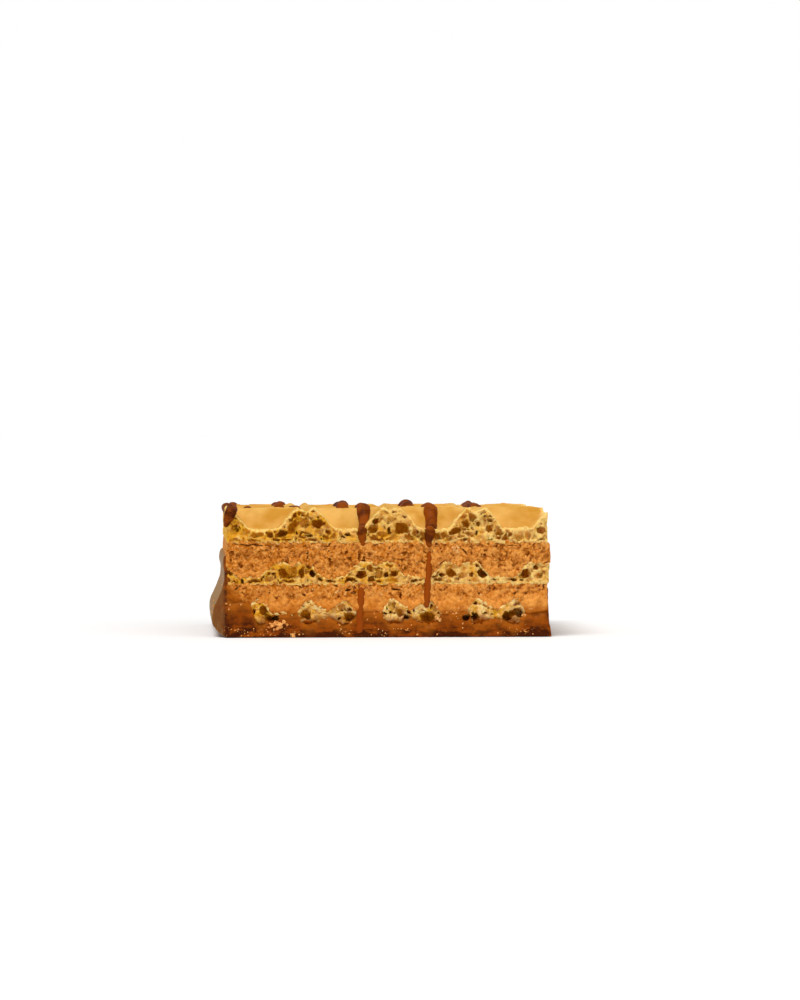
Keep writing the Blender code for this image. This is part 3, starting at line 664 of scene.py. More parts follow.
@functools.cache
def cream_tree():
    """A cream: cast on the sheet below, flat under the sheet above, grainy where it was cut."""
    names = ("Top", "Left", "Right", "Depth", "Swell", "Grain", "Smooth below", "Rubbed", "End")
    inputs = dict.fromkeys(names, "Float")
    ledges = {"Ledge left": "Vector", "Ledge right": "Vector"}
    inputs = {**GRID_INPUTS, **WAFFLE_INPUTS, **inputs, **ledges}
    tree, given, end = start_tree("cream", inputs, {"Geometry": "Geometry"})
    put = functools.partial(add, tree)
    uneven = functools.partial(put, GROUP, node_tree=uneven_tree())
    point = put(GROUP, [given["Fine"], given["Stretch"]], node_tree=true_point_tree())
    x, y, z = put(SPLIT, [point], None)
    seed = given["Seed"]
    height = put(GROUP, waffle(point, given), node_tree=waffle_height_tree())
    low = put(MATH, [z, height], operation="SUBTRACT")
    low = put(MATH, [low, 0.12], operation="ADD")
    high = put(MATH, [given["Top"], z], operation="SUBTRACT")
    layer = put(MATH, [low, high], operation="MINIMUM")
    # Near the cut it's dragged a little over the sheets' edges.
    creep = uneven(waves(point, 1.0, 2.2, 4.0, 0.6, 0.5, seed))
    creep = put(MATH, [creep, -0.02], operation="MAXIMUM")
    creep = put(MATH, [creep, put(RANGE, [y, 0.25, 0.5, 1.0, 0.0])], operation="MULTIPLY")
    layer = put(MATH, [layer, creep], operation="ADD")
    chocolate = put(MATH, [z, given["Rubbed"]], operation="SUBTRACT")
    chocolate = put(MATH, [chocolate, 0.2], operation="ADD")
    for name, way in (("Ledge left", 1.0), ("Ledge right", -1.0)):
        ledge = put(SPLIT, [given[name]], None)
        beside = put(MATH, [x, ledge[0]], operation="SUBTRACT")
        slope = put(MATH, [beside, ledge[1]], operation="MULTIPLY")
        beside = put(MATH, [beside, way], operation="MULTIPLY")
        above = put(MATH, [z, ledge[2]], operation="SUBTRACT")
        above = put(MATH, [above, slope], operation="SUBTRACT")
        clear = put(MATH, [beside, above], operation="MAXIMUM")
        layer = put(MATH, [layer, put(MATH, [clear, 0.15], operation="ADD")], operation="MINIMUM")
        chocolate = put(MATH, [chocolate, clear], operation="MINIMUM")
    # The knife dragged more chocolate into its left end.
    chocolate = put(MATH, [chocolate, put(RANGE, [x, 0.2, 2.2, 1.1, 0.0])], operation="SUBTRACT")
    middle = put(MATH, [given["Top"], 2.2], operation="SUBTRACT")
    swell = put(MATH, [z, middle], operation="SUBTRACT")
    swell = put(MATH, [swell, 2.0], operation="POWER")
    swell = put(MATH, [swell, -0.12, 0.5], operation="MULTIPLY_ADD")
    swell = put(MATH, [swell, given["Swell"]], operation="MULTIPLY")
    swell = put(MATH, [swell, uneven(waves(point, 0.5, 0.4))], operation="ADD")
    side = put(MATH, [within_sides(put, x, y, given), swell], operation="ADD")
    patches = uneven(waves(point, 0.4, 4.5, 3.0, middle=0.5, seed=seed))
    rough = put(MATH, [z, given["Smooth below"]], operation="SUBTRACT")
    rough = put(MATH, [rough, patches], operation="ADD")
    rough = put(RANGE, [rough, -0.9, 1.3, 0.35, 1.0], interpolation_type="SMOOTHSTEP")
    crumbly = uneven(waves(point, 2.2, 2.1, 4.0, 0.7, 0.47, seed))
    lumps = uneven(waves(point, 0.9, 1.0, 3.0, 0.6, 0.5, seed))
    grain = put(MATH, [crumbly, lumps], operation="ADD")
    grain = put(MATH, [grain, rough], operation="MULTIPLY")
    grain = put(MATH, [grain, given["Grain"]], operation="MULTIPLY")
    # The knife left the crests flat.
    grain = put(MATH, [grain, -0.05, 0.08], operation="SMOOTH_MAX")
    broad = uneven(waves(point, 0.45, 0.6, 2.0, middle=0.48, seed=seed))
    grain = put(MATH, [grain, broad], operation="ADD")
    front = put(MATH, [y, grain], operation="SUBTRACT")
    below = put(GROUP, waffle(point, given, RUBBED_INPUTS), node_tree=rubbed_edge_tree())
    front = put(MATH, [front, put(RANGE, [below, *RUBBED_FADE, 0.0, RUBBED_DEPTH])], operation="SUBTRACT")
    body = put(MATH, [layer, side, 0.3], operation="SMOOTH_MIN")
    body = put(MATH, [body, front, 0.08], operation="SMOOTH_MIN")
    bend = put(NOISE, {"Vector": point, "Scale": 1.5, "Detail": 3.0}, "Color")
    bend = put(VECTOR, [bend, MID_GREY], operation="SUBTRACT")
    bent = put(VECTOR, [bend, (0.6, 0.6, 0.6), point], operation="MULTIPLY_ADD")
    crack = put(GROUP, [given["Marks"], bent], node_tree=marked_tree())
    crack = put(MATH, [crack, -1.0], operation="MULTIPLY")
    field = put(MATH, [body, crack], operation="MINIMUM")
    inward = put(MATH, [y, broad], operation="SUBTRACT")
    inward = put(MATH, [inward, side], operation="MINIMUM")
    wrap(tree, given, end, field, {"inward": inward, "grainy": rough, "chocolate": chocolate})
    return tree


@functools.cache
def base_tree():
    """The chocolate base: a soft-sided tray, filled beside the bottom sheet, and rubbed up over the cut's foot."""
    names = ("Left", "Right", "Depth", "Height", "Coated", "Under sheet", "Rubbed", "End")
    names = (*names, "Swell left", "Swell right", "Swell back")
    ledges = {"Ledge left": "Vector", "Ledge right": "Vector"}
    inputs = {**GRID_INPUTS, **WAFFLE_INPUTS, **dict.fromkeys(names, "Float"), **ledges}
    tree, given, end = start_tree("chocolate_base", inputs, {"Geometry": "Geometry"})
    put = functools.partial(add, tree)
    uneven = functools.partial(put, GROUP, node_tree=uneven_tree())
    point = put(GROUP, [given["Fine"], given["Stretch"]], node_tree=true_point_tree())
    x, y, z = put(SPLIT, [point], None)
    share = put(MATH, [z, given["Coated"]], operation="DIVIDE")
    swell = put("ShaderNodeFloatCurve", [1.0, share])
    curve = swell.node.mapping.curves[0]
    curve.points[0].location, *between, curve.points[1].location = SIDE_PROFILE
    for place in between:
        curve.points.new(*place)
    swell.node.mapping.update()
    # The right side only splays at its foot.
    splay = put(RANGE, [z, 0.3, 2.4, 0.95, 0.35], interpolation_type="SMOOTHSTEP")
    outsides = []
    for a, b, name in (
        (x, given["Left"], "Swell left"),
        (given["Depth"], y, "Swell back"),
        (given["Right"], x, "Swell right"),
    ):
        bulge = splay if name == "Swell right" else swell
        out = put(MATH, [bulge, given[name]], operation="MULTIPLY")
        side = put(MATH, [a, b], operation="SUBTRACT")
        outsides.append(put(MATH, [side, out], operation="ADD"))
    outside = put(MATH, [outsides[0], outsides[1], 1.4], operation="SMOOTH_MIN")
    outside = put(MATH, [outside, outsides[2], 1.4], operation="SMOOTH_MIN")
    outside = put(MATH, [outside, uneven(waves(point, 0.3, 0.35))], operation="ADD")
    outside = put(MATH, [outside, uneven(waves(point, 1.1, 0.14, 3.0))], operation="ADD")
    rim = put(MATH, [given["Height"], z], operation="SUBTRACT")
    rim = put(MATH, [rim, uneven(waves(point, 0.35, 0.9, 3.0))], operation="ADD")
    # The coat runs further up the left side, thinning out.
    further = put(MATH, [given["Coated"], given["Height"]], operation="SUBTRACT")
    rim = put(MATH, [rim, put(RANGE, [x, 0.0, 1.5, further, 0.0])], operation="ADD")
    body = put(MATH, [outside, rim, 0.5], operation="SMOOTH_MIN")
    ground = put(MATH, [z, uneven(waves(point, 0.9, 0.25, 3.0, middle=0.45))], operation="SUBTRACT")
    ground = put(MATH, [ground, 0.02], operation="SUBTRACT")
    ground = put(MATH, [ground, put(MATH, [z, 0.01], operation="SUBTRACT")], operation="MINIMUM")
    body = put(MATH, [body, ground, 0.2], operation="SMOOTH_MIN")
    nicks = uneven(waves(point, 0.9, 0.4, 4.0, 0.6, 0.42))
    # Its foot is lumpy.
    lumpy = uneven(waves(point, 1.5, 0.75, 4.0, 0.65, 0.45))
    lumpy = put(MATH, [lumpy, put(RANGE, [z, 1.0, 2.6, 1.0, 0.25])], operation="MULTIPLY")
    nicks = put(MATH, [nicks, lumpy], operation="ADD")
    # The left side's corner rounds away from the cut.
    nicks = put(MATH, [nicks, put(RANGE, [x, -1.6, 0.2, 1.6, 0.0])], operation="ADD")
    # Chocolate thins out towards its ragged upper edge.
    edge = put(GROUP, waffle(point, given, RUBBED_INPUTS), node_tree=rubbed_edge_tree())
    nicks = put(MATH, [nicks, put(RANGE, [edge, *RUBBED_FADE, RUBBED_DEPTH, 0.0])], operation="ADD")
    # The right rim lies back from the cut above the ledge.
    rim_back = put(MATH, [x, given["Right"]], operation="SUBTRACT")
    rim_back = put(RANGE, [rim_back, -0.6, 0.2, 0.0, 0.9])
    rim_back = put(MATH, [rim_back, put(RANGE, [z, 2.7, 3.9, 0.0, 1.0])], operation="MULTIPLY")
    nicks = put(MATH, [nicks, rim_back], operation="ADD")
    front = put(MATH, [y, nicks], operation="SUBTRACT")
    body = put(MATH, [body, front, 0.15], operation="SMOOTH_MIN")
    ragged = uneven(waves(point, 0.7, 0.8, 3.0))
    hollow = put(MATH, [given["Under sheet"], z], operation="SUBTRACT")
    for name, way in (("Ledge left", -1.0), ("Ledge right", 1.0)):
        ledge = put(SPLIT, [given[name]], None)
        beside = put(MATH, [x, ledge[0]], operation="SUBTRACT")
        slope = put(MATH, [beside, ledge[1], ledge[2]], operation="MULTIPLY_ADD")
        beside = put(MATH, [beside, way, 0.5], operation="MULTIPLY_ADD")
        under = put(MATH, [put(MATH, [slope, 0.25], operation="ADD"), z], operation="SUBTRACT")
        block = put(MATH, [beside, under, 0.4], operation="SMOOTH_MIN")
        block = put(MATH, [block, ragged], operation="ADD")
        hollow = put(MATH, [hollow, block], operation="MAXIMUM")
    for a, b in ((given["Left"], x), (x, given["Right"]), (y, given["Depth"])):
        wall = put(MATH, [a, b], operation="SUBTRACT")
        wall = put(MATH, [wall, 0.35], operation="ADD")
        hollow = put(MATH, [hollow, wall], operation="MAXIMUM")
    # What the knife rubbed up over the foot of the bottom sheet.
    near = put(MATH, [0.5, y], operation="SUBTRACT")
    rubbed = put(MATH, [edge, near], operation="MINIMUM")
    hollow = put(MATH, [hollow, rubbed], operation="MAXIMUM")
    laid_open = put(GROUP, [given["Marks"], point], node_tree=marked_tree())
    laid_open = put(MATH, [laid_open, -1.0, uneven(waves(point, 2.0, 0.3))], operation="MULTIPLY_ADD")
    hollow = put(MATH, [hollow, laid_open], operation="MINIMUM")
    field = put(MATH, [body, hollow, 0.1], operation="SMOOTH_MIN")
    thin = put(RANGE, [edge, -0.2, 1.6, 1.0, 0.0])
    thin = put(MATH, [thin, put(RANGE, [x, -0.1, 0.5, 0.0, 1.0])], operation="MULTIPLY")
    from_right = put(MATH, [given["Right"], x], operation="SUBTRACT")
    thin = put(MATH, [thin, put(RANGE, [from_right, 0.0, 0.6, 0.0, 1.0])], operation="MULTIPLY")
    own_face = put(RANGE, [front, 0.2, 0.8, 0.0, 1.0])
    own_face = put(MATH, [own_face, put(RANGE, [x, -0.5, -0.1, 1.0, 0.0])], operation="MAXIMUM")
    wrap(tree, given, end, field, {"thin": thin, "outside": own_face})
    return tree


@functools.cache
def runs_tree():
    """Chocolate that ran along paths, each as thick as its marks say. Marks at or below nought are draped: they lie
    that far down in the surface of the sheet below."""
    inputs = {**GRID_INPUTS, **WAFFLE_INPUTS, "Lumps": "Float"}
    tree, given, end = start_tree("chocolate_runs", inputs, {"Geometry": "Geometry"})
    put = functools.partial(add, tree)
    mark = put("GeometryNodeInputPosition")
    heights = None
    for away in ((0.0, 0.0, 0.0), (-0.7, -0.7, 0.0), (0.7, -0.7, 0.0), (-0.7, 0.7, 0.0), (0.7, 0.7, 0.0)):
        near = put(VECTOR, [mark, away], operation="ADD")
        height = put(GROUP, waffle(near, given), node_tree=waffle_height_tree())
        own = height if heights is None else own
        heights = height if heights is None else put(MATH, [heights, height], operation="ADD")
    height = put(MATH, [put(MATH, [heights, 0.2], operation="MULTIPLY"), own], operation="MAXIMUM")
    lift = put("ShaderNodeCombineXYZ", [0.0, 0.0, height])
    draped = put("FunctionNodeCompare", {0: put(SPLIT, [mark], "Z"), 1: 0.0}, operation="LESS_EQUAL")
    paths = put("GeometryNodeSetPosition", {"Geometry": given["Marks"], "Selection": draped, "Offset": lift})
    point = put(GROUP, [given["Fine"], given["Stretch"]], node_tree=true_point_tree())
    bend = put(NOISE, {"Vector": point, "Scale": 0.8, "Detail": 2.0}, "Color")
    bend = put(VECTOR, [bend, MID_GREY], operation="SUBTRACT")
    bent = put(VECTOR, [bend, (0.4, 0.2, 0.2), point], operation="MULTIPLY_ADD")
    away = {"Target": paths, "Sample Position": bent}
    away = put("GeometryNodeProximity", away, "Distance", target_element="EDGES")
    nearest = put("GeometryNodeSampleNearest", [paths, bent])
    size = put("GeometryNodeInputNamedAttribute", {"Name": "size"}, data_type="FLOAT_VECTOR")
    size = put("GeometryNodeSampleIndex", {0: paths, 1: size, 2: nearest}, data_type="FLOAT_VECTOR")
    inside = put(MATH, [put(SPLIT, [size], "X"), away], operation="SUBTRACT")
    lumps = put(GROUP, waves(point, 0.6, given["Lumps"], 2.0), node_tree=uneven_tree())
    inside = put(MATH, [inside, lumps], operation="ADD")
    wrap(tree, given, end, inside, {})
    return tree


@functools.cache
def crumbs_tree():
    """Crumbs stuck to the faces of other pieces that look towards the front or up, thick in some places."""
    inputs = {"On": "Collection", "Facing": "Vector", "Low": "Vector", "High": "Vector", "Density": "Float"}
    inputs = {**inputs, "Least": "Float", "Most": "Float", "Patches": "Float", "Seed": "Int", "Material": "Material"}
    tree, given, end = start_tree("stuck_crumbs", {"Marks": "Geometry", **inputs}, {"Geometry": "Geometry"})
    put = functools.partial(add, tree)
    ground = put("GeometryNodeCollectionInfo", [given["On"]])
    ground = put("GeometryNodeRealizeInstances", [ground])
    place = put("GeometryNodeInputPosition")
    facing = put(VECTOR, [put("GeometryNodeInputNormal"), given["Facing"]], "Value", operation="DOT_PRODUCT")
    facing = put(MATH, [facing, 0.35], operation="GREATER_THAN")
    clipped = put(VECTOR, [place, given["High"]], operation="MINIMUM")
    clipped = put(VECTOR, [clipped, given["Low"]], operation="MAXIMUM")
    off = put(VECTOR, [clipped, place], "Value", operation="DISTANCE")
    within = put(MATH, [off, 1e-6], operation="LESS_THAN")
    patches = put(NOISE, {"Vector": place, "Scale": 0.45 / MM, "Detail": 2.0})
    patches = put(MATH, [patches, given["Patches"]], operation="GREATER_THAN")
    chosen = put(MATH, [facing, within], operation="MULTIPLY")
    chosen = put(MATH, [chosen, patches], operation="MULTIPLY")
    chosen = put(MATH, [chosen, given["Density"]], operation="MULTIPLY")
    spread = {"Mesh": ground, "Density": chosen, "Seed": given["Seed"]}
    points, _, turn = put("GeometryNodeDistributePointsOnFaces", spread, None)
    crumb = put("GeometryNodeMeshIcoSphere", {"Radius": 1.0, "Subdivisions": 1})
    dent = put(NOISE, {"Vector": place, "Scale": 1.1, "Detail": 3.0}, "Color")
    dent = put(VECTOR, [dent, MID_GREY], operation="SUBTRACT")
    dent = put(VECTOR, {0: dent, "Scale": 1.9}, operation="SCALE")
    crumb = put("GeometryNodeSetPosition", {"Geometry": crumb, "Offset": dent})
    size = put("FunctionNodeRandomValue", {2: 0.0, 3: 1.0, "Seed": given["Seed"]}, 1)
    size = put(MATH, [size, 3.0], operation="POWER")
    size = put(RANGE, [size, 0.0, 1.0, given["Least"], given["Most"]])
    thin = put("FunctionNodeRandomValue", {0: (0.7, 0.6, 0.5), 1: (1.3, 1.0, 1.1)}, 0, data_type="FLOAT_VECTOR")
    size = put(VECTOR, {0: thin, "Scale": size}, operation="SCALE")
    crumbs = {"Points": points, "Instance": crumb, "Rotation": turn, "Scale": size}
    crumbs = put("GeometryNodeInstanceOnPoints", crumbs)
    any_way = put("FunctionNodeRandomValue", {0: (0.0, 0.0, 0.0), 1: (6.3, 6.3, 6.3)}, 0, data_type="FLOAT_VECTOR")
    crumbs = put("GeometryNodeRotateInstances", [crumbs, None, any_way])
    pale = put("FunctionNodeRandomValue", {2: 0.0, 3: 1.0, "Seed": 5}, 1)
    pale = {"Geometry": crumbs, "Name": "pale", "Value": pale}
    crumbs = put("GeometryNodeStoreNamedAttribute", pale, domain="INSTANCE")
    crumbs = put("GeometryNodeRealizeInstances", [crumbs])
    crumbs = put("GeometryNodeSetShadeSmooth", {"Geometry": crumbs, "Shade Smooth": False})
    crumbs = put("GeometryNodeSetMaterial", {"Geometry": crumbs, "Material": given["Material"]})
    tree.links.new(crumbs, end.inputs["Geometry"])
    return tree


@functools.cache
def clump_tree():
    """Large crumbs, each broken out round a mark."""
    tree, given, end = start_tree("clump", {**GRID_INPUTS, "Pale": "Float"}, {"Geometry": "Geometry"})
    put = functools.partial(add, tree)
    point = put(GROUP, [given["Fine"], given["Stretch"]], node_tree=true_point_tree())
    inside = put(GROUP, [given["Marks"], point], node_tree=marked_tree())
    broken = put(GROUP, waves(point, 2.2, 1.1, 5.0, 0.7), node_tree=uneven_tree())
    inside = put(MATH, [inside, broken], operation="ADD")
    wrap(tree, given, end, inside, {"pale": given["Pale"]})
    return tree


def marks(name, rows, paths=()):
    """Marks for a tree to read: each row is a point in the bar, its half size each way, and its lean in degrees.
    paths are the counts of marks that follow each other, joined, from the first on."""
    mesh = bpy.data.meshes.new(name)
    starts = [sum(paths[:i]) for i in range(len(paths))]
    joins = [(start + i, start + i + 1) for start, count in zip(starts, paths) for i in range(count - 1)]
    mesh.from_pydata([place for place, _, _ in rows], joins, [])
    size = mesh.attributes.new("size", "FLOAT_VECTOR", "POINT")
    size.data.foreach_set("vector", [v for _, half, _ in rows for v in half])
    lean = mesh.attributes.new("lean", "FLOAT_VECTOR", "POINT")
    lean.data.foreach_set("vector", [v for _, _, degrees in rows for v in (0.0, math.radians(degrees), 0.0)])
    return mesh


def opened(name, rows, set_back=0.3):
    """Marks for hollows that the cut laid open, each centred a little behind the cut."""
    places = [((x, set_back * deep, z), (wide, 0.8 * deep, high), lean) for x, z, wide, high, lean, deep in rows]
    return marks(name, places)


def drawn_out(path, step=0.1):
    """A path of places and radii with many more of them, evenly spaced, so that its thickness changes smoothly."""
    fine = [path[0]]
    for (place, radius), (next_place, next_radius) in zip(path, path[1:]):
        count = math.ceil(math.dist(place, next_place) / step)
        for share in (i / count for i in range(1, count + 1)):
            between = tuple(a + (b - a) * share for a, b in zip(place, next_place))
            fine.append((between, radius + (next_radius - radius) * share))
    return fine


def run(name, tree, values, places=None):
    """Runs a tree once with these input values and returns the piece with a plain mesh."""
    item = bpy.data.objects.new(name, places or bpy.data.meshes.new(name))
    bpy.context.scene.collection.objects.link(item)
    modifier = item.modifiers.new("grow", "NODES")
    modifier.node_group = tree
    for socket in tree.interface.items_tree:
        if socket.in_out == "INPUT" and socket.name in values:
            modifier[socket.identifier] = values[socket.name]
    evaluated = item.evaluated_get(bpy.context.evaluated_depsgraph_get())
    mesh = bpy.data.meshes.new_from_object(evaluated)
    item.modifiers.remove(modifier)
    item.data = mesh
    mesh.name = name
    if not mesh.polygons:
        raise RuntimeError(f"{name} grew no mesh")
    return item


def grow(name, tree, low, high, cell, settings, places=None, fine=2.6, stretch=0.3):
    """Runs a tree on a grid from low to high, in mm of the bar, that is fine up to a y and stretched behind it."""
    reach = fine + (math.sqrt(1 + 4 * stretch * (high[1] - fine)) - 1) / (2 * stretch) if high[1] > fine else high[1]
    high = (high[0], reach, high[2])
    counts = {f"Grid {axis}": max(4, round((b - a) / cell)) for axis, a, b in zip("xyz", low, high)}
    return run(name, tree, {"Low": low, "High": high, "Fine": fine, "Stretch": stretch, **counts, **settings}, places)


# ---------------------------------------------------------------------------------------------------------------
# Materials


def start_material(name):
    """A material, its tree, its Principled shader, and the point on the piece in mm of the bar."""
    made = bpy.data.materials.new(name)
    made.use_nodes = True
    tree = made.node_tree
    place = add(tree, "ShaderNodeTexCoord", out="Object")
    point = add(tree, VECTOR, [place, (1 / MM,) * 3, -BAR_ORIGIN], operation="MULTIPLY_ADD")
    return made, tree, tree.nodes["Principled BSDF"], point


def finish_material(tree, shader, base, height, strength, depth, values):
    """The end of every food's material: its colour, its bumps, which are depth mm deep, and its shader's values."""
    bump = add(tree, "ShaderNodeBump", {"Strength": strength, "Distance": depth * MM, "Height": height})
    tree.links.new(base, shader.inputs["Base Color"])
    tree.links.new(bump, shader.inputs["Normal"])
    for name, value in values.items():
        shader.inputs[name].default_value = value


def wafer_material(name, wafer, stained_below):
    """Baked wafer: thin batter baked between hot plates. Its skins are matte, smooth and golden where they met the
    plates, and the foam inside is lighter at its torn edges. Deep in a bubble and in its fine pores it turns darker
    and browner, which is painted shade; the top and middle sheets have painted shadow towards their left ends and
    painted light towards their right, and the bottom sheet is darker towards its left end."""
    made, tree, shader, point = start_material(name)
    put = functools.partial(add, tree)
    blend = functools.partial(put, MIX, out=2, data_type="RGBA")
    skin, inward = (put("ShaderNodeAttribute", out="Fac", attribute_name=note) for note in ("skin", "inward"))
    cloud = put(NOISE, {"Vector": point, "Scale": 0.3, "Detail": 3.0})
    fleck = put(NOISE, {"Vector": point, "Scale": 1.6, "Detail": 5.0, "Roughness": 0.7})
    baked = put(RANGE, [cloud, 0.36, 0.64, 0.0, 1.0])
    plate = blend({0: baked, 6: (*wafer.skin_dark, 1.0), 7: (*wafer.skin_light, 1.0)})
    uneven_bake = put(NOISE, {"Vector": point, "Scale": 0.55, "Detail": 3.0, "Roughness": 0.6})
    x = put(SPLIT, [point], "X")
    # Painted shadow towards the left of the top and middle sheets and painted light towards their right; the bottom
    # sheet only turns darker towards its left end. The baking's own unevenness is added to it.
    shade_and_bake = put(RANGE, [x, *((3.0, 9.0, -0.35, 0.1) if stained_below else (3.0, 32.0, -0.4, 0.42))])
    shade_and_bake = put(MATH, [put(RANGE, [uneven_bake, 0.3, 0.7, -0.1, 1.1]), shade_and_bake], operation="ADD")
    torn = put(RANGE, [fleck, 0.36, 0.64, -0.45, 0.45])
    torn = put(MATH, [torn, shade_and_bake], operation="ADD", use_clamp=True)
    light = wafer.foam_pale if stained_below else wafer.foam_light
    foam = blend({0: torn, 6: (*wafer.foam_dark, 1.0), 7: (*light, 1.0)})
    # Painted shade: deep in a bubble the foam turns to a darker, browner colour.
    deep = put(RANGE, [inward, 0.1, 1.2, 0.0, 1.0])
    foam = blend({0: deep, 6: foam, 7: (*wafer.bubble_shade, 1.0)})
    # Painted shade: the fine pores are darker where the bump below is low, as they follow the same noise.
    pores = put(NOISE, {"Vector": point, "Scale": 2.6, "Detail": 4.0, "Roughness": 0.72})
    pores = put(RANGE, [pores, 0.35, 0.46, 0.5, 0.0])
    pores = put(MATH, [pores, put(RANGE, [inward, 0.3, 0.8, 1.0, 0.3])], operation="MULTIPLY")
    foam = blend({0: pores, 6: foam, 7: (*wafer.pore_shade, 1.0)})
    # The knife left a little cream on the cut.
    smeared = put(NOISE, {"Vector": point, "Scale": 0.8, "Detail": 5.0, "Roughness": 0.68})
    smeared = put(RANGE, [smeared, 0.5, 0.62, 0.0, 0.4])
    smeared = put(MATH, [smeared, put(RANGE, [inward, 0.15, 0.5, 1.0, 0.0])], operation="MULTIPLY")
    foam = blend({0: smeared, 6: foam, 7: (*wafer.smear, 1.0)})
    broken = put(MATH, [fleck, 1.6, inward], operation="MULTIPLY_ADD")
    broken = put(RANGE, [broken, 1.0, 1.5, 0.95, 0.0])
    rim = blend({0: 0.85, 6: foam, 7: (*light, 1.0)})
    plate = blend({0: broken, 6: plate, 7: rim})
    on_skin = put(RANGE, [skin, 0.06, 0.28, 1.0, 0.0])
    surface = blend({0: on_skin, 6: foam, 7: plate})
    if stained_below:
        z = put(SPLIT, [point], "Z")
        ragged = put(NOISE, {"Vector": point, "Scale": 0.7, "Detail": 4.0})
        level = put(MATH, [ragged, -2.4, z], operation="MULTIPLY_ADD")
        stain = put(RANGE, [level, stained_below - 1.8, stained_below - 0.7, 1.0, 0.0])
        surface = blend({0: stain, 6: surface, 7: (*wafer.stain, 1.0)})
    grit = put(NOISE, {"Vector": point, "Scale": 2.6, "Detail": 4.0, "Roughness": 0.72})
    inside = put(MATH, [on_skin, -0.85, 1.0], operation="MULTIPLY_ADD")
    grit = put(MATH, [grit, inside], operation="MULTIPLY")
    values = {
        "Roughness": 0.7,
        "IOR": 1.45,
        "Specular IOR Level": 0.02,
        "Subsurface Weight": 0.35,
        "Subsurface Radius": (1.0, 0.6, 0.2),
        "Subsurface Scale": 0.6 * MM,
    }
    finish_material(tree, shader, surface, grit, 0.9, 0.3, values)
    return made


def cream_material(cream):
    """Cocoa cream: sugar and cocoa ground into fat. It's matte and grainy where it broke, with a dull sheen where
    the knife smoothed it, and pale specks of wafer are caught in it."""
    made, tree, shader, point = start_material("cocoa_cream")
    put = functools.partial(add, tree)
    blend = functools.partial(put, MIX, out=2, data_type="RGBA")
    notes = ("inward", "grainy", "chocolate")
    inward, grainy, chocolate = (put("ShaderNodeAttribute", out="Fac", attribute_name=note) for note in notes)
    cloud = put(NOISE, {"Vector": point, "Scale": 0.7, "Detail": 3.0, "Roughness": 0.6})
    cloud = put(RANGE, [cloud, 0.32, 0.68, 0.15, 0.85])
    grains = put(NOISE, {"Vector": point, "Scale": 3.2, "Detail": 4.0, "Roughness": 0.72})
    # Painted light and shade: the grains are lighter on their crests and darker in their hollows, as the bump follows
    # the same noise.
    crest_light_pit_shade = put(RANGE, [grains, 0.38, 0.62, -0.6, 0.6])
    crest_light_pit_shade = put(MATH, [crest_light_pit_shade, grainy], operation="MULTIPLY")
    # Painted light: the cream turns lighter towards its right end.
    lit_rightwards = put(RANGE, [put(SPLIT, [point], "X"), 8.0, 34.0, -0.05, 0.2])
    mixed = put(MATH, [put(MATH, [cloud, lit_rightwards], operation="ADD"), crest_light_pit_shade], operation="ADD", use_clamp=True)
    base = blend({0: mixed, 6: (*cream.cream_dark, 1.0), 7: (*cream.cream_light, 1.0)})
    # Painted shade: the cream darkens down in its pits.
    deep = put(RANGE, [inward, 0.06, 0.42, 0.0, 1.0])
    base = blend({0: deep, 6: base, 7: (*cream.pit_shade, 1.0)})
    specks = put(NOISE, {"Vector": point, "Scale": 1.9, "Detail": 3.0, "Roughness": 0.65})
    specks = put(RANGE, [specks, 0.6, 0.68, 0.0, 0.85])
    specks = put(MATH, [specks, grainy], operation="MULTIPLY")
    base = blend({0: specks, 6: base, 7: (*cream.speck, 1.0)})
    ragged = put(NOISE, {"Vector": point, "Scale": 0.9, "Detail": 4.0})
    rubbed = put(MATH, [ragged, -1.8, chocolate], operation="MULTIPLY_ADD")
    rubbed = put(RANGE, [rubbed, -1.3, 0.4, 1.0, 0.0], interpolation_type="SMOOTHSTEP")
    base = blend({0: rubbed, 6: base, 7: (*cream.rubbed, 1.0)})
    grit = put(MATH, [grains, grainy], operation="MULTIPLY")
    values = {
        "Roughness": 0.6,
        "IOR": 1.46,
        "Specular IOR Level": 0.03,
        "Subsurface Weight": 0.12,
        "Subsurface Radius": (0.8, 0.4, 0.15),
        "Subsurface Scale": 0.4 * MM,
    }
    finish_material(tree, shader, base, grit, 0.9, 0.3, values)
    return made


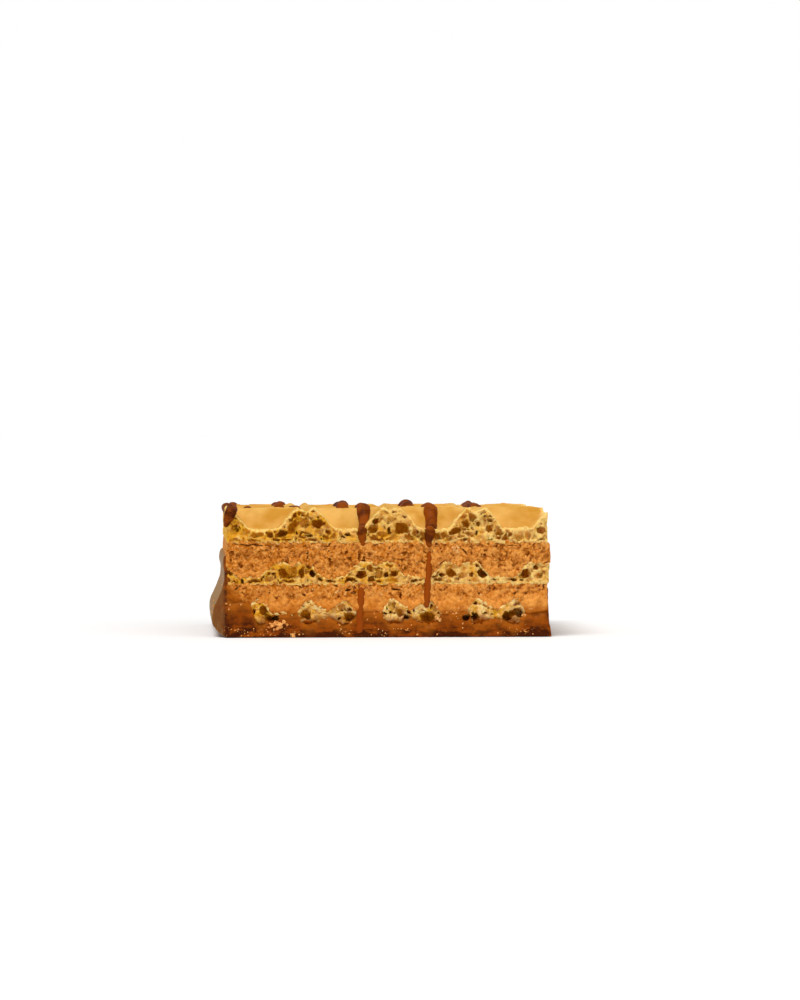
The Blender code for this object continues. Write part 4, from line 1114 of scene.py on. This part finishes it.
def chocolate_material(name, chocolate, shaded_below):
    """Milk chocolate: set in a thin coat. It has a soft gloss where it set by itself, and is duller and browner
    where the knife went through, with darker streaks low down. It is painted darker towards its foot and its left
    corner, which is painted shade, and its own face has a pale painted sheen at a low angle, a painted reflection."""
    made, tree, shader, point = start_material(name)
    put = functools.partial(add, tree)
    blend = functools.partial(put, MIX, out=2, data_type="RGBA")
    x, _, z = put(SPLIT, [point], None)
    stretched = put(VECTOR, [point, (0.45, 0.8, 1.1)], operation="MULTIPLY")
    streak = put(NOISE, {"Vector": stretched, "Scale": 0.9, "Detail": 4.0, "Roughness": 0.62})
    cloud = put(NOISE, {"Vector": point, "Scale": 0.7, "Detail": 3.0, "Roughness": 0.6})
    streak = put(MATH, [streak, 1.4], operation="MULTIPLY")
    streak = put(MATH, [cloud, 0.6, streak], operation="MULTIPLY_ADD")
    # Painted shade: it turns dark towards its foot, below the given height, and towards its left corner; the streaks
    # and blotches that are added to it are its own.
    high = put(RANGE, [z, shaded_below * 0.3, shaded_below, 0.0, 0.75])
    mixed = put(RANGE, [streak, 0.82, 1.18, -0.6, 0.5])
    high = put(MATH, [high, put(RANGE, [x, -0.5, 5.0, -0.3, 0.0])], operation="ADD")
    squeezed = put(VECTOR, [point, (0.6, 1.0, 1.4)], operation="MULTIPLY")
    blotch = put(NOISE, {"Vector": squeezed, "Scale": 1.0, "Detail": 4.0, "Roughness": 0.65})
    blotch = put(RANGE, [blotch, 0.4, 0.6, -0.7, 0.8])
    blotch = put(MATH, [blotch, put(RANGE, [z, 0.7, 1.8, 1.0, 0.0])], operation="MULTIPLY")
    high = put(MATH, [high, blotch], operation="ADD")
    mixed = put(MATH, [high, mixed], operation="ADD", use_clamp=True)
    base = blend({0: mixed, 6: (*chocolate.dark, 1.0), 7: (*chocolate.light, 1.0)})
    thin = put("ShaderNodeAttribute", out="Fac", attribute_name="thin")
    thin = put(MATH, [thin, put(RANGE, [cloud, 0.36, 0.56, 0.45, 1.0])], operation="MULTIPLY")
    base = blend({0: thin, 6: base, 7: (*chocolate.thin, 1.0)})
    # Its own face is even and brown, with a pale sheen painted at a low angle: a painted reflection of the bright
    # room.
    outside = put("ShaderNodeAttribute", out="Fac", attribute_name="outside")
    base = blend({0: outside, 6: base, 7: (*chocolate.outside, 1.0)})
    low_angle = put("ShaderNodeLayerWeight", {"Blend": 0.35}, "Facing")
    painted_sheen = put(MATH, [outside, put(RANGE, [low_angle, 0.1, 0.6, 0.0, 0.9])], operation="MULTIPLY")
    base = blend({0: painted_sheen, 6: base, 7: (*chocolate.painted_sheen, 1.0)})
    ripple = put(NOISE, {"Vector": point, "Scale": 1.8, "Detail": 4.0, "Roughness": 0.65})
    values = {
        "Roughness": 0.46,
        "IOR": 1.47,
        "Specular IOR Level": 0.06,
        "Subsurface Weight": 0.06,
        "Subsurface Radius": (0.6, 0.25, 0.1),
        "Subsurface Scale": 0.4 * MM,
    }
    finish_material(tree, shader, base, ripple, 0.5, 0.15, values)
    return made


def rubbed_material(chocolate):
    """Milk chocolate dragged over the cut by a warm knife: thin, so that the cream shows through, and smooth."""
    made, tree, shader, point = start_material("milk_chocolate_rubbed")
    put = functools.partial(add, tree)
    stretched = put(VECTOR, [point, (3.0, 1.0, 0.4)], operation="MULTIPLY")
    streak = put(NOISE, {"Vector": stretched, "Scale": 1.0, "Detail": 3.0, "Roughness": 0.6})
    # Painted shade: higher up, from 10.5 mm to 12.5 mm, it turns from the rubbed colour to the light chocolate colour.
    high = put(RANGE, [put(SPLIT, [point], "Z"), 10.5, 12.5, 0.0, -0.7])
    mixed = put(RANGE, [streak, 0.35, 0.65, 0.0, 1.0])
    mixed = put(MATH, [mixed, high], operation="ADD", use_clamp=True)
    base = {0: mixed, 6: (*chocolate.light, 1.0), 7: (*chocolate.rubbed, 1.0)}
    base = put(MIX, base, 2, data_type="RGBA")
    ripple = put(NOISE, {"Vector": point, "Scale": 2.4, "Detail": 3.0, "Roughness": 0.6})
    values = {"Roughness": 0.4, "IOR": 1.47, "Specular IOR Level": 0.08}
    finish_material(tree, shader, base, ripple, 0.4, 0.1, values)
    return made


def crumb_material(wafer, cream):
    """Crumbs: torn bits of wafer foam, pale and matte, and grains of cream, browner."""
    made, tree, shader, point = start_material("wafer_and_cream_crumbs")
    put = functools.partial(add, tree)
    pale = put("ShaderNodeAttribute", out="Fac", attribute_name="pale")
    kind = put(RANGE, [pale, 0.1, 0.9, 0.0, 1.0])
    base = put(MIX, {0: kind, 6: (*cream.cream_light, 1.0), 7: (*wafer.foam_light, 1.0)}, 2, data_type="RGBA")
    grit = put(NOISE, {"Vector": point, "Scale": 3.5, "Detail": 4.0, "Roughness": 0.7})
    shade = put(RANGE, [grit, 0.4, 0.65, 0.9, 0.0])
    base = put(MIX, {0: shade, 6: base, 7: (*cream.cream_dark, 1.0)}, 2, data_type="RGBA")
    finish_material(tree, shader, base, grit, 0.5, 0.05, {"Roughness": 0.75, "IOR": 1.45})
    return made


# ---------------------------------------------------------------------------------------------------------------
# Settings


class WaferSettings(bpy.types.PropertyGroup):
    """Sizes and colours of the three wafer sheets."""

    cell: millimetres("Grid cell", "Size of the grid that a sheet is grown on", 0.12)
    pitch: millimetres("Pan pitch", "Distance from one pan to the next", 9.82)
    bubble: millimetres("Bubble spacing", "Spacing of the middling bubbles in the foam", 1.25)
    skin: millimetres("Skin", "Thickness of the dense skins", 0.26)
    torn: millimetres("Torn edge", "Height of the crumbling on the cut face", 0.9)
    waviness: millimetres("Waviness", "How far the pans wander from true", 0.7)
    skin_light: colour("Skin, light", "Colour of the skins where they baked least", "E6B25E")
    skin_dark: colour("Skin, dark", "Colour of the skins where they baked most", "CE9236")
    foam_light: colour("Foam, light", "Colour of the foam's torn edges", "FFD27E")
    foam_pale: colour("Foam, pale", "Colour of the torn edges of the bottom sheet's foam", "FFD990")
    foam_dark: colour("Foam, dark", "Colour of the foam's walls", "EAA62A")
    # Painted shade: the colour that the foam turns to deep in a bubble.
    bubble_shade: colour("Hole", "Colour deep in a bubble", "E0961A")
    # Painted shade: the colour of the fine pores, darker in the bump's hollows.
    pore_shade: colour("Pore", "Colour of the foam's fine pores", "AC7014")
    smear: colour("Smear", "Colour of the cream that the knife left on the foam", "C8792A")
    stain: colour("Stain", "Colour where chocolate was rubbed into the sheet", "8A4004")


class CreamSettings(bpy.types.PropertyGroup):
    """Sizes and colours of the two creams."""

    cell: millimetres("Grid cell", "Size of the grid that a cream is grown on", 0.1)
    grain: millimetres("Grain", "Height of the grains on the cut face, as a share of the usual", 1.0)
    # The two cream colours also carry painted light on the grains' crests and painted shade in their hollows.
    cream_light: colour("Cream, light", "Colour of the cream's crests", "F4A64E")
    cream_dark: colour("Cream, dark", "Colour of the cream", "C46C12")
    # Painted shade: the colour that the cream darkens to down in its pits.
    pit_shade: colour("Pit", "Colour down in the cream's pits", "9A4E06")
    speck: colour("Speck", "Colour of the wafer crumbs in the cream", "ECB060")
    rubbed: colour("Rubbed", "Colour where chocolate was rubbed into the cream", "A8580E")


class ChocolateSettings(bpy.types.PropertyGroup):
    """Sizes and colours of the chocolate."""

    cell: millimetres("Grid cell", "Size of the grid that the chocolate is grown on", 0.13)
    light: colour("Chocolate, light", "Colour of the chocolate where it's thin or scraped", "8E4202")
    outside: colour("Chocolate, outside", "Colour of the coat's own face", "74421C")
    # Painted reflection: the pale sheen that the coat's own face is given at a low angle.
    painted_sheen: colour("Bloom", "Colour of the coat's dull bloom at a low angle", "9C7440")
    thin: colour("Chocolate, thin", "Colour of the chocolate that the knife spread over the cut", "B0600F")
    rubbed: colour("Chocolate, rubbed", "Colour of the chocolate that the knife dragged down the cut", "943F00")
    # Also painted shade: the colour that the chocolate darkens to towards its foot and its left corner, as well as in
    # its streaks.
    dark: colour("Chocolate, dark", "Colour of the chocolate where it's thick", "481A00")


class StageSettings(bpy.types.PropertyGroup):
    """The camera and the floor."""

    lens: FloatProperty(name="Lens", description="Focal length of the camera", default=125.0, min=1.0, unit="CAMERA")
    distance: FloatProperty(
        name="Distance", description="From the camera to the cut face", default=0.4, min=0.05, unit="LENGTH"
    )
    azimuth: FloatProperty(
        name="Azimuth", description="Turn of the camera round the biscuit", default=math.radians(-3.5), unit="ROTATION"
    )
    elevation: FloatProperty(
        name="Elevation", description="Height of the camera as an angle", default=math.radians(2.3), unit="ROTATION"
    )
    floor: colour("Floor", "Colour of the floor", "FFFFFF")


# ---------------------------------------------------------------------------------------------------------------
# Operators

# Chocolate fills the space beside the bottom sheet up to a slope: where it meets the sheet, how much it rises a mm
# to the right, and how high it is where they meet.
LEDGES = {"Ledge left": (2.7, -0.55, 3.4), "Ledge right": (34.5, 0.15, 2.8)}
NO_LEDGES = dict.fromkeys(LEDGES, (0.0, 0.0, -9.0))
MARGIN = 0.6


def sheet_top(name):
    """Height of a sheet's ridges, in mm."""
    return SHEETS[name]["Bottom"] + SHEETS[name]["Web"] + SHEETS[name]["Ridge"]


def pressed(name, wafer):
    """Values for the pressed top of a sheet."""
    return {**SHEETS[name], "Pitch": wafer.pitch, "Waviness": wafer.waviness}


class WAFER_OT_sheets(bpy.types.Operator):
    """Grow the three wafer sheets"""

    bl_idname = "wafer_biscuit.sheets"
    bl_label = "Wafer sheets"

    def execute(self, context):
        wafer = context.scene.wafer_settings
        plain = wafer_material("baked_wafer", wafer, stained_below=0.0)
        stained = wafer_material("baked_wafer_stained", wafer, stained_below=2.3)
        for name, sheet in SHEETS.items():
            lowest = name == "wafer_bottom"
            low = (sheet["Left"] - MARGIN, -MARGIN, sheet["Bottom"] - MARGIN)
            high = (sheet["Right"] + MARGIN, DEPTH + MARGIN, sheet_top(name) + MARGIN)
            settings = {
                **pressed(name, wafer),
                "Depth": DEPTH,
                "Bubble": wafer.bubble,
                "Skin": wafer.skin,
                "Torn": wafer.torn,
                "Closed below": 2.7 if lowest else 0.0,
                "Rubbed": RUBBED if lowest else UNRUBBED,
                "End": sheet["Left"],
                "Material": stained if lowest else plain,
            }
            bubbles = opened(name + "_bubbles", BUBBLES[name])
            piece = grow("baked_" + name, sheet_tree(), low, high, wafer.cell, settings, bubbles)
            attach(piece, "root")
            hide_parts(name)
        return {"FINISHED"}


class WAFER_OT_creams(bpy.types.Operator):
    """Grow the two cocoa creams"""

    bl_idname = "wafer_biscuit.creams"
    bl_label = "Cocoa creams"

    def execute(self, context):
        cream, wafer = context.scene.cream_settings, context.scene.wafer_settings
        material = cream_material(cream)
        for name, layer in CREAMS.items():
            below, above = SHEETS[layer["below"]], SHEETS[layer["above"]]
            lowest = layer["below"] == "wafer_bottom"
            top = above["Bottom"] + 0.1
            low = (layer["Left"] - MARGIN, -MARGIN, below["Bottom"] + below["Web"] - MARGIN)
            high = (layer["Right"] + MARGIN, DEPTH + MARGIN, top + MARGIN)
            settings = {
                **pressed(layer["below"], wafer),
                **(LEDGES if lowest else NO_LEDGES),
                "Top": top,
                "Left": layer["Left"],
                "Right": layer["Right"],
                "Swell": layer["Swell"],
                "Depth": DEPTH,
                "Grain": cream.grain,
                "Smooth below": 4.5 if lowest else 7.0,
                "Rubbed": RUBBED if lowest else UNRUBBED,
                "End": below["Left"],
                "Material": material,
            }
            cracks = opened(name + "_cracks", CRACKS[name])
            piece = grow("cocoa_" + name, cream_tree(), low, high, cream.cell, settings, cracks, fine=1.2, stretch=0.5)
            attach(piece, "root")
            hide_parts(name)
        return {"FINISHED"}


class WAFER_OT_base(bpy.types.Operator):
    """Grow the chocolate base"""

    bl_idname = "wafer_biscuit.base"
    bl_label = "Chocolate base"

    def execute(self, context):
        chocolate, wafer = context.scene.chocolate_settings, context.scene.wafer_settings
        lower = CREAMS["cream_lower"]
        low = (lower["Left"] - 2.2, -MARGIN, -0.3)
        high = (lower["Right"] + 1.5, DEPTH + 1.5, 10.2)
        settings = {
            **pressed("wafer_bottom", wafer),
            **LEDGES,
            "Left": lower["Left"],
            "Right": lower["Right"],
            "Depth": DEPTH,
            "Height": 5.8,
            "Coated": 9.5,
            "Under sheet": SHEETS["wafer_bottom"]["Bottom"],
            "Swell left": 1.75,
            "Swell right": 0.45,
            "Swell back": 1.0,
            "Rubbed": RUBBED,
            "End": SHEETS["wafer_bottom"]["Left"],
            "Material": chocolate_material("milk_chocolate", chocolate, shaded_below=1.1),
        }
        bubbles = opened("base_bubbles", BUBBLES["wafer_bottom"])
        piece = grow(
            "milk_chocolate_base", base_tree(), low, high, chocolate.cell, settings, bubbles, fine=2.0, stretch=0.4
        )
        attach(piece, "root")
        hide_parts("chocolate_base")
        return {"FINISHED"}


class WAFER_OT_drizzle(bpy.types.Operator):
    """Lay the chocolate lines, the corner drip and the streaks on the cut"""

    bl_idname = "wafer_biscuit.drizzle"
    bl_label = "Chocolate drizzle"

    def execute(self, context):
        chocolate, wafer = context.scene.chocolate_settings, context.scene.wafer_settings
        material = chocolate_material("milk_chocolate_drizzle", chocolate, shaded_below=0.1)
        thin = rubbed_material(chocolate)
        lines = []
        for start, first, last, radius, narrow, down in LINES:
            count = round((last - first) / LINE_STEP) + 1
            ys = [first + (last - first) * i / (count - 1) for i in range(count)]
            xs = [start + LINE_SLANT * y + LINE_SWAY * math.sin(2 * math.pi * y / LINE_SWAY_LENGTH) for y in ys]
            shares = [min(1.0, (y - first) / LINE_TAPER) for y in ys]
            radii = [narrow + (radius - narrow) * share**2 for share in shares]
            depths = [r * (LINE_SINK + LINE_START_SINK * (1 - share)) for r, share in zip(radii, shares)]
            over = drawn_out([((x, y, -depth), r) for x, y, depth, r in zip(xs, ys, depths, radii)])
            lines.append([*(drawn_out(down) if down else ()), *over])
        drip = drawn_out(CORNER_DRIP)
        streaks = [
            drawn_out([((x, wide - STREAK_PROUD, z), STREAK_SPREAD * wide) for x, z, wide in path]) for path in STREAKS
        ]
        top = sheet_top("wafer_top")
        # Each grid: its first and last corner in mm, its cell, up to which y it's fine and how it stretches behind,
        # and how lumpy the chocolate in it is.
        grids = {
            "drizzle_lines": ((-1.5, -0.4, 10.2), (34.0, DEPTH + 1.2, top + 0.9), 0.14, 6.0, 0.06, 0.3),
            "drizzle_corner_drip": ((-1.0, -0.5, 12.0), (1.8, 3.5, top + 0.6), 0.1, 3.5, 0.1, 0.2),
            "drizzle_streaks": ((14.4, -0.5, 0.2), (24.7, 1.8, 14.0), 0.1, 3.0, 0.1, 0.12),
        }
        drawn = ((lines, material), ([drip], material), (streaks, thin))
        for (name, (low, high, cell, fine, stretch, lumps)), (paths, finish) in zip(grids.items(), drawn):
            rows = [(place, (radius,) * 3, 0.0) for path in paths for place, radius in path]
            settings = {**pressed("wafer_top", wafer), "Lumps": lumps, "Material": finish}
            places = marks(name, rows, [len(path) for path in paths])
            piece = grow(name, runs_tree(), low, high, cell, settings, places, fine, stretch)
            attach(piece, "root")
            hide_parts("wafer_top")
        return {"FINISHED"}


class WAFER_OT_crumbs(bpy.types.Operator):
    """Scatter the crumbs"""

    bl_idname = "wafer_biscuit.crumbs"
    bl_label = "Crumbs"

    def execute(self, context):
        material = crumb_material(context.scene.wafer_settings, context.scene.cream_settings)
        ground = bpy.data.collections.new("crumb_ground")
        for name in ("milk_chocolate_base", "cocoa_cream_lower", "cocoa_cream_upper", "baked_wafer_top"):
            ground.objects.link(bpy.data.objects[name])
        corner = BAR_ORIGIN * MM
        front = (0.0, -1.0, 0.0)
        # Each kind: the way that the faces under it look, the first and last corner of its box in mm, how many a
        # square metre, the least and most radius in mm, and the noise above which any lie.
        kinds = {
            "crumbs_on_base": (front, (-0.3, -1.0, 0.2), (3.4, 2.0, 4.4), 9.0e6, 0.03, 0.16, 0.5),
            "crumbs_on_coat": ((-0.9, -0.3, 0.0), (-2.5, 0.0, 0.3), (0.0, 12.0, 8.0), 0.5e6, 0.03, 0.2, 0.5),
            "crumbs_along_foot": (front, (3.0, -1.0, 0.22), (38.5, 2.0, 1.0), 8.0e6, 0.03, 0.17, 0.54),
            "crumbs_on_chocolate": (front, (3.0, -1.0, 1.0), (38.5, 2.0, 2.2), 2.5e6, 0.03, 0.16, 0.53),
            "crumbs_below_cream": (front, (4.0, -1.0, 2.0), (36.0, 2.0, 3.5), 4.0e6, 0.03, 0.22, 0.46),
            "crumbs_on_lower_cream": (front, (0.0, -1.0, 4.6), (37.5, 1.0, 6.2), 3.5e6, 0.03, 0.17, 0.45),
            "crumbs_on_upper_cream": (front, (0.0, -1.0, 9.0), (37.5, 1.0, 10.9), 2.5e6, 0.03, 0.18, 0.45),
        }
        for seed, (name, (facing, low, high, density, least, most, patches)) in enumerate(kinds.items()):
            values = {
                "On": ground,
                "Facing": facing,
                "Low": corner + Vector(low) * MM,
                "High": corner + Vector(high) * MM,
                "Density": density,
                "Least": least * MM,
                "Most": most * MM,
                "Patches": patches,
                "Seed": seed,
                "Material": material,
            }
            piece = run(name, crumbs_tree(), values)
            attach(piece, "root")
        bpy.data.collections.remove(ground)
        for name, (pale, rows) in CLUMPS.items():
            low = [min(row[axis] - 2 * row[3] for row in rows) for axis in range(3)]
            high = [max(row[axis] + 2 * row[3] for row in rows) for axis in range(3)]
            low[2] = max(low[2], CLUMP_LOWEST)
            balls = marks(name, [(row[:3], (row[3],) * 3, 0.0) for row in rows])
            settings = {"Pale": pale, "Material": material}
            piece = grow(name, clump_tree(), low, high, CLUMP_CELL, settings, balls)
            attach(piece, "root")
        return {"FINISHED"}


# Each light: its azimuth and elevation in degrees, its power, and how wide it is in degrees.
SUNS = {"key": (-35, 62, 2.0, 30), "fill": (40, 30, 0.5, 60)}
# How bright the white room is to the biscuit; the camera sees it at full white.
ROOM_LIGHT = 0.42
FLOOR_SIZE = 40.0
# The camera looks at this height over the cut's foot, in mm, and the biscuit stands a little left of and below the
# middle of the view.
AIM_HEIGHT = 7.5
VIEW_SHIFT = (0.0147, 0.0725)


def bearing(azimuth, elevation):
    """The way to something seen from the biscuit, with azimuth 0 in front of the cut."""
    flat = math.cos(elevation)
    return Vector((math.sin(azimuth) * flat, -math.cos(azimuth) * flat, math.sin(elevation)))


class WAFER_OT_stage(bpy.types.Operator):
    """Set the camera, the lights and the floor"""

    bl_idname = "wafer_biscuit.stage"
    bl_label = "Stage"

    def execute(self, context):
        stage = context.scene.stage_settings
        scene = context.scene
        scene.view_settings.view_transform = "Standard"
        bpy.ops.mesh.primitive_plane_add(size=FLOOR_SIZE)
        floor = context.object
        floor.name = "floor"
        made, _, shader, _ = start_material("matte_paper")
        shader.inputs["Base Color"].default_value = (*stage.floor, 1.0)
        shader.inputs["Roughness"].default_value = 0.9
        shader.inputs["Specular IOR Level"].default_value = 0.1
        floor.data.materials.append(made)
        world = bpy.data.worlds.new("studio")
        world.use_nodes = True
        backdrop = world.node_tree.nodes["Background"]
        sight = add(world.node_tree, "ShaderNodeLightPath", out="Is Camera Ray")
        bright = add(world.node_tree, RANGE, [sight, 0.0, 1.0, ROOM_LIGHT, 1.0])
        world.node_tree.links.new(bright, backdrop.inputs["Strength"])
        backdrop.inputs["Color"].default_value = (1.0, 1.0, 1.0, 1.0)
        scene.world = world
        for name, (azimuth, elevation, power, soft) in SUNS.items():
            sun = bpy.data.lights.new(name, "SUN")
            sun.angle = math.radians(soft)
            sun.energy = power
            item = bpy.data.objects.new(name, sun)
            item.location = bearing(math.radians(azimuth), math.radians(elevation))
            item.rotation_euler = item.location.to_track_quat("Z", "Y").to_euler()
            scene.collection.objects.link(item)
        camera = bpy.data.objects.new("camera", bpy.data.cameras.new("camera"))
        camera.data.lens = stage.lens
        camera.data.clip_start = 0.01
        target = Vector((0.0, BAR_ORIGIN.y * MM, AIM_HEIGHT * MM))
        away = bearing(stage.azimuth, stage.elevation)
        camera.location = target + away * stage.distance
        camera.rotation_euler = away.to_track_quat("Z", "Y").to_euler()
        camera.data.shift_x, camera.data.shift_y = VIEW_SHIFT
        scene.collection.objects.link(camera)
        scene.camera = camera
        return {"FINISHED"}


class WAFER_PT_panel(bpy.types.Panel):
    """The sidebar's list of the biscuit's pieces and their settings"""

    bl_label = "Wafer biscuit"
    bl_idname = "WAFER_PT_panel"
    bl_space_type = "VIEW_3D"
    bl_region_type = "UI"
    bl_category = "Wafer biscuit"

    def draw(self, context):
        for operator in OPERATORS:
            self.layout.operator(operator.bl_idname)
        for name, kind in SETTINGS.items():
            box = self.layout.box()
            for setting in kind.__annotations__:
                box.prop(getattr(context.scene, name), setting)


SETTINGS = {
    "wafer_settings": WaferSettings,
    "cream_settings": CreamSettings,
    "chocolate_settings": ChocolateSettings,
    "stage_settings": StageSettings,
}
OPERATORS = (
    WAFER_OT_sheets,
    WAFER_OT_creams,
    WAFER_OT_base,
    WAFER_OT_drizzle,
    WAFER_OT_crumbs,
    WAFER_OT_stage,
)
CLASSES = (*SETTINGS.values(), *OPERATORS, WAFER_PT_panel)


def register():
    for item in CLASSES:
        bpy.utils.register_class(item)
    for name, kind in SETTINGS.items():
        setattr(bpy.types.Scene, name, PointerProperty(type=kind))


def unregister():
    for name in SETTINGS:
        delattr(bpy.types.Scene, name)
    for item in reversed(CLASSES):
        bpy.utils.unregister_class(item)


def main():
    register()
    for operator in OPERATORS:
        area, _, name = operator.bl_idname.partition(".")
        getattr(getattr(bpy.ops, area), name)()


if __name__ == "__main__":
    main()
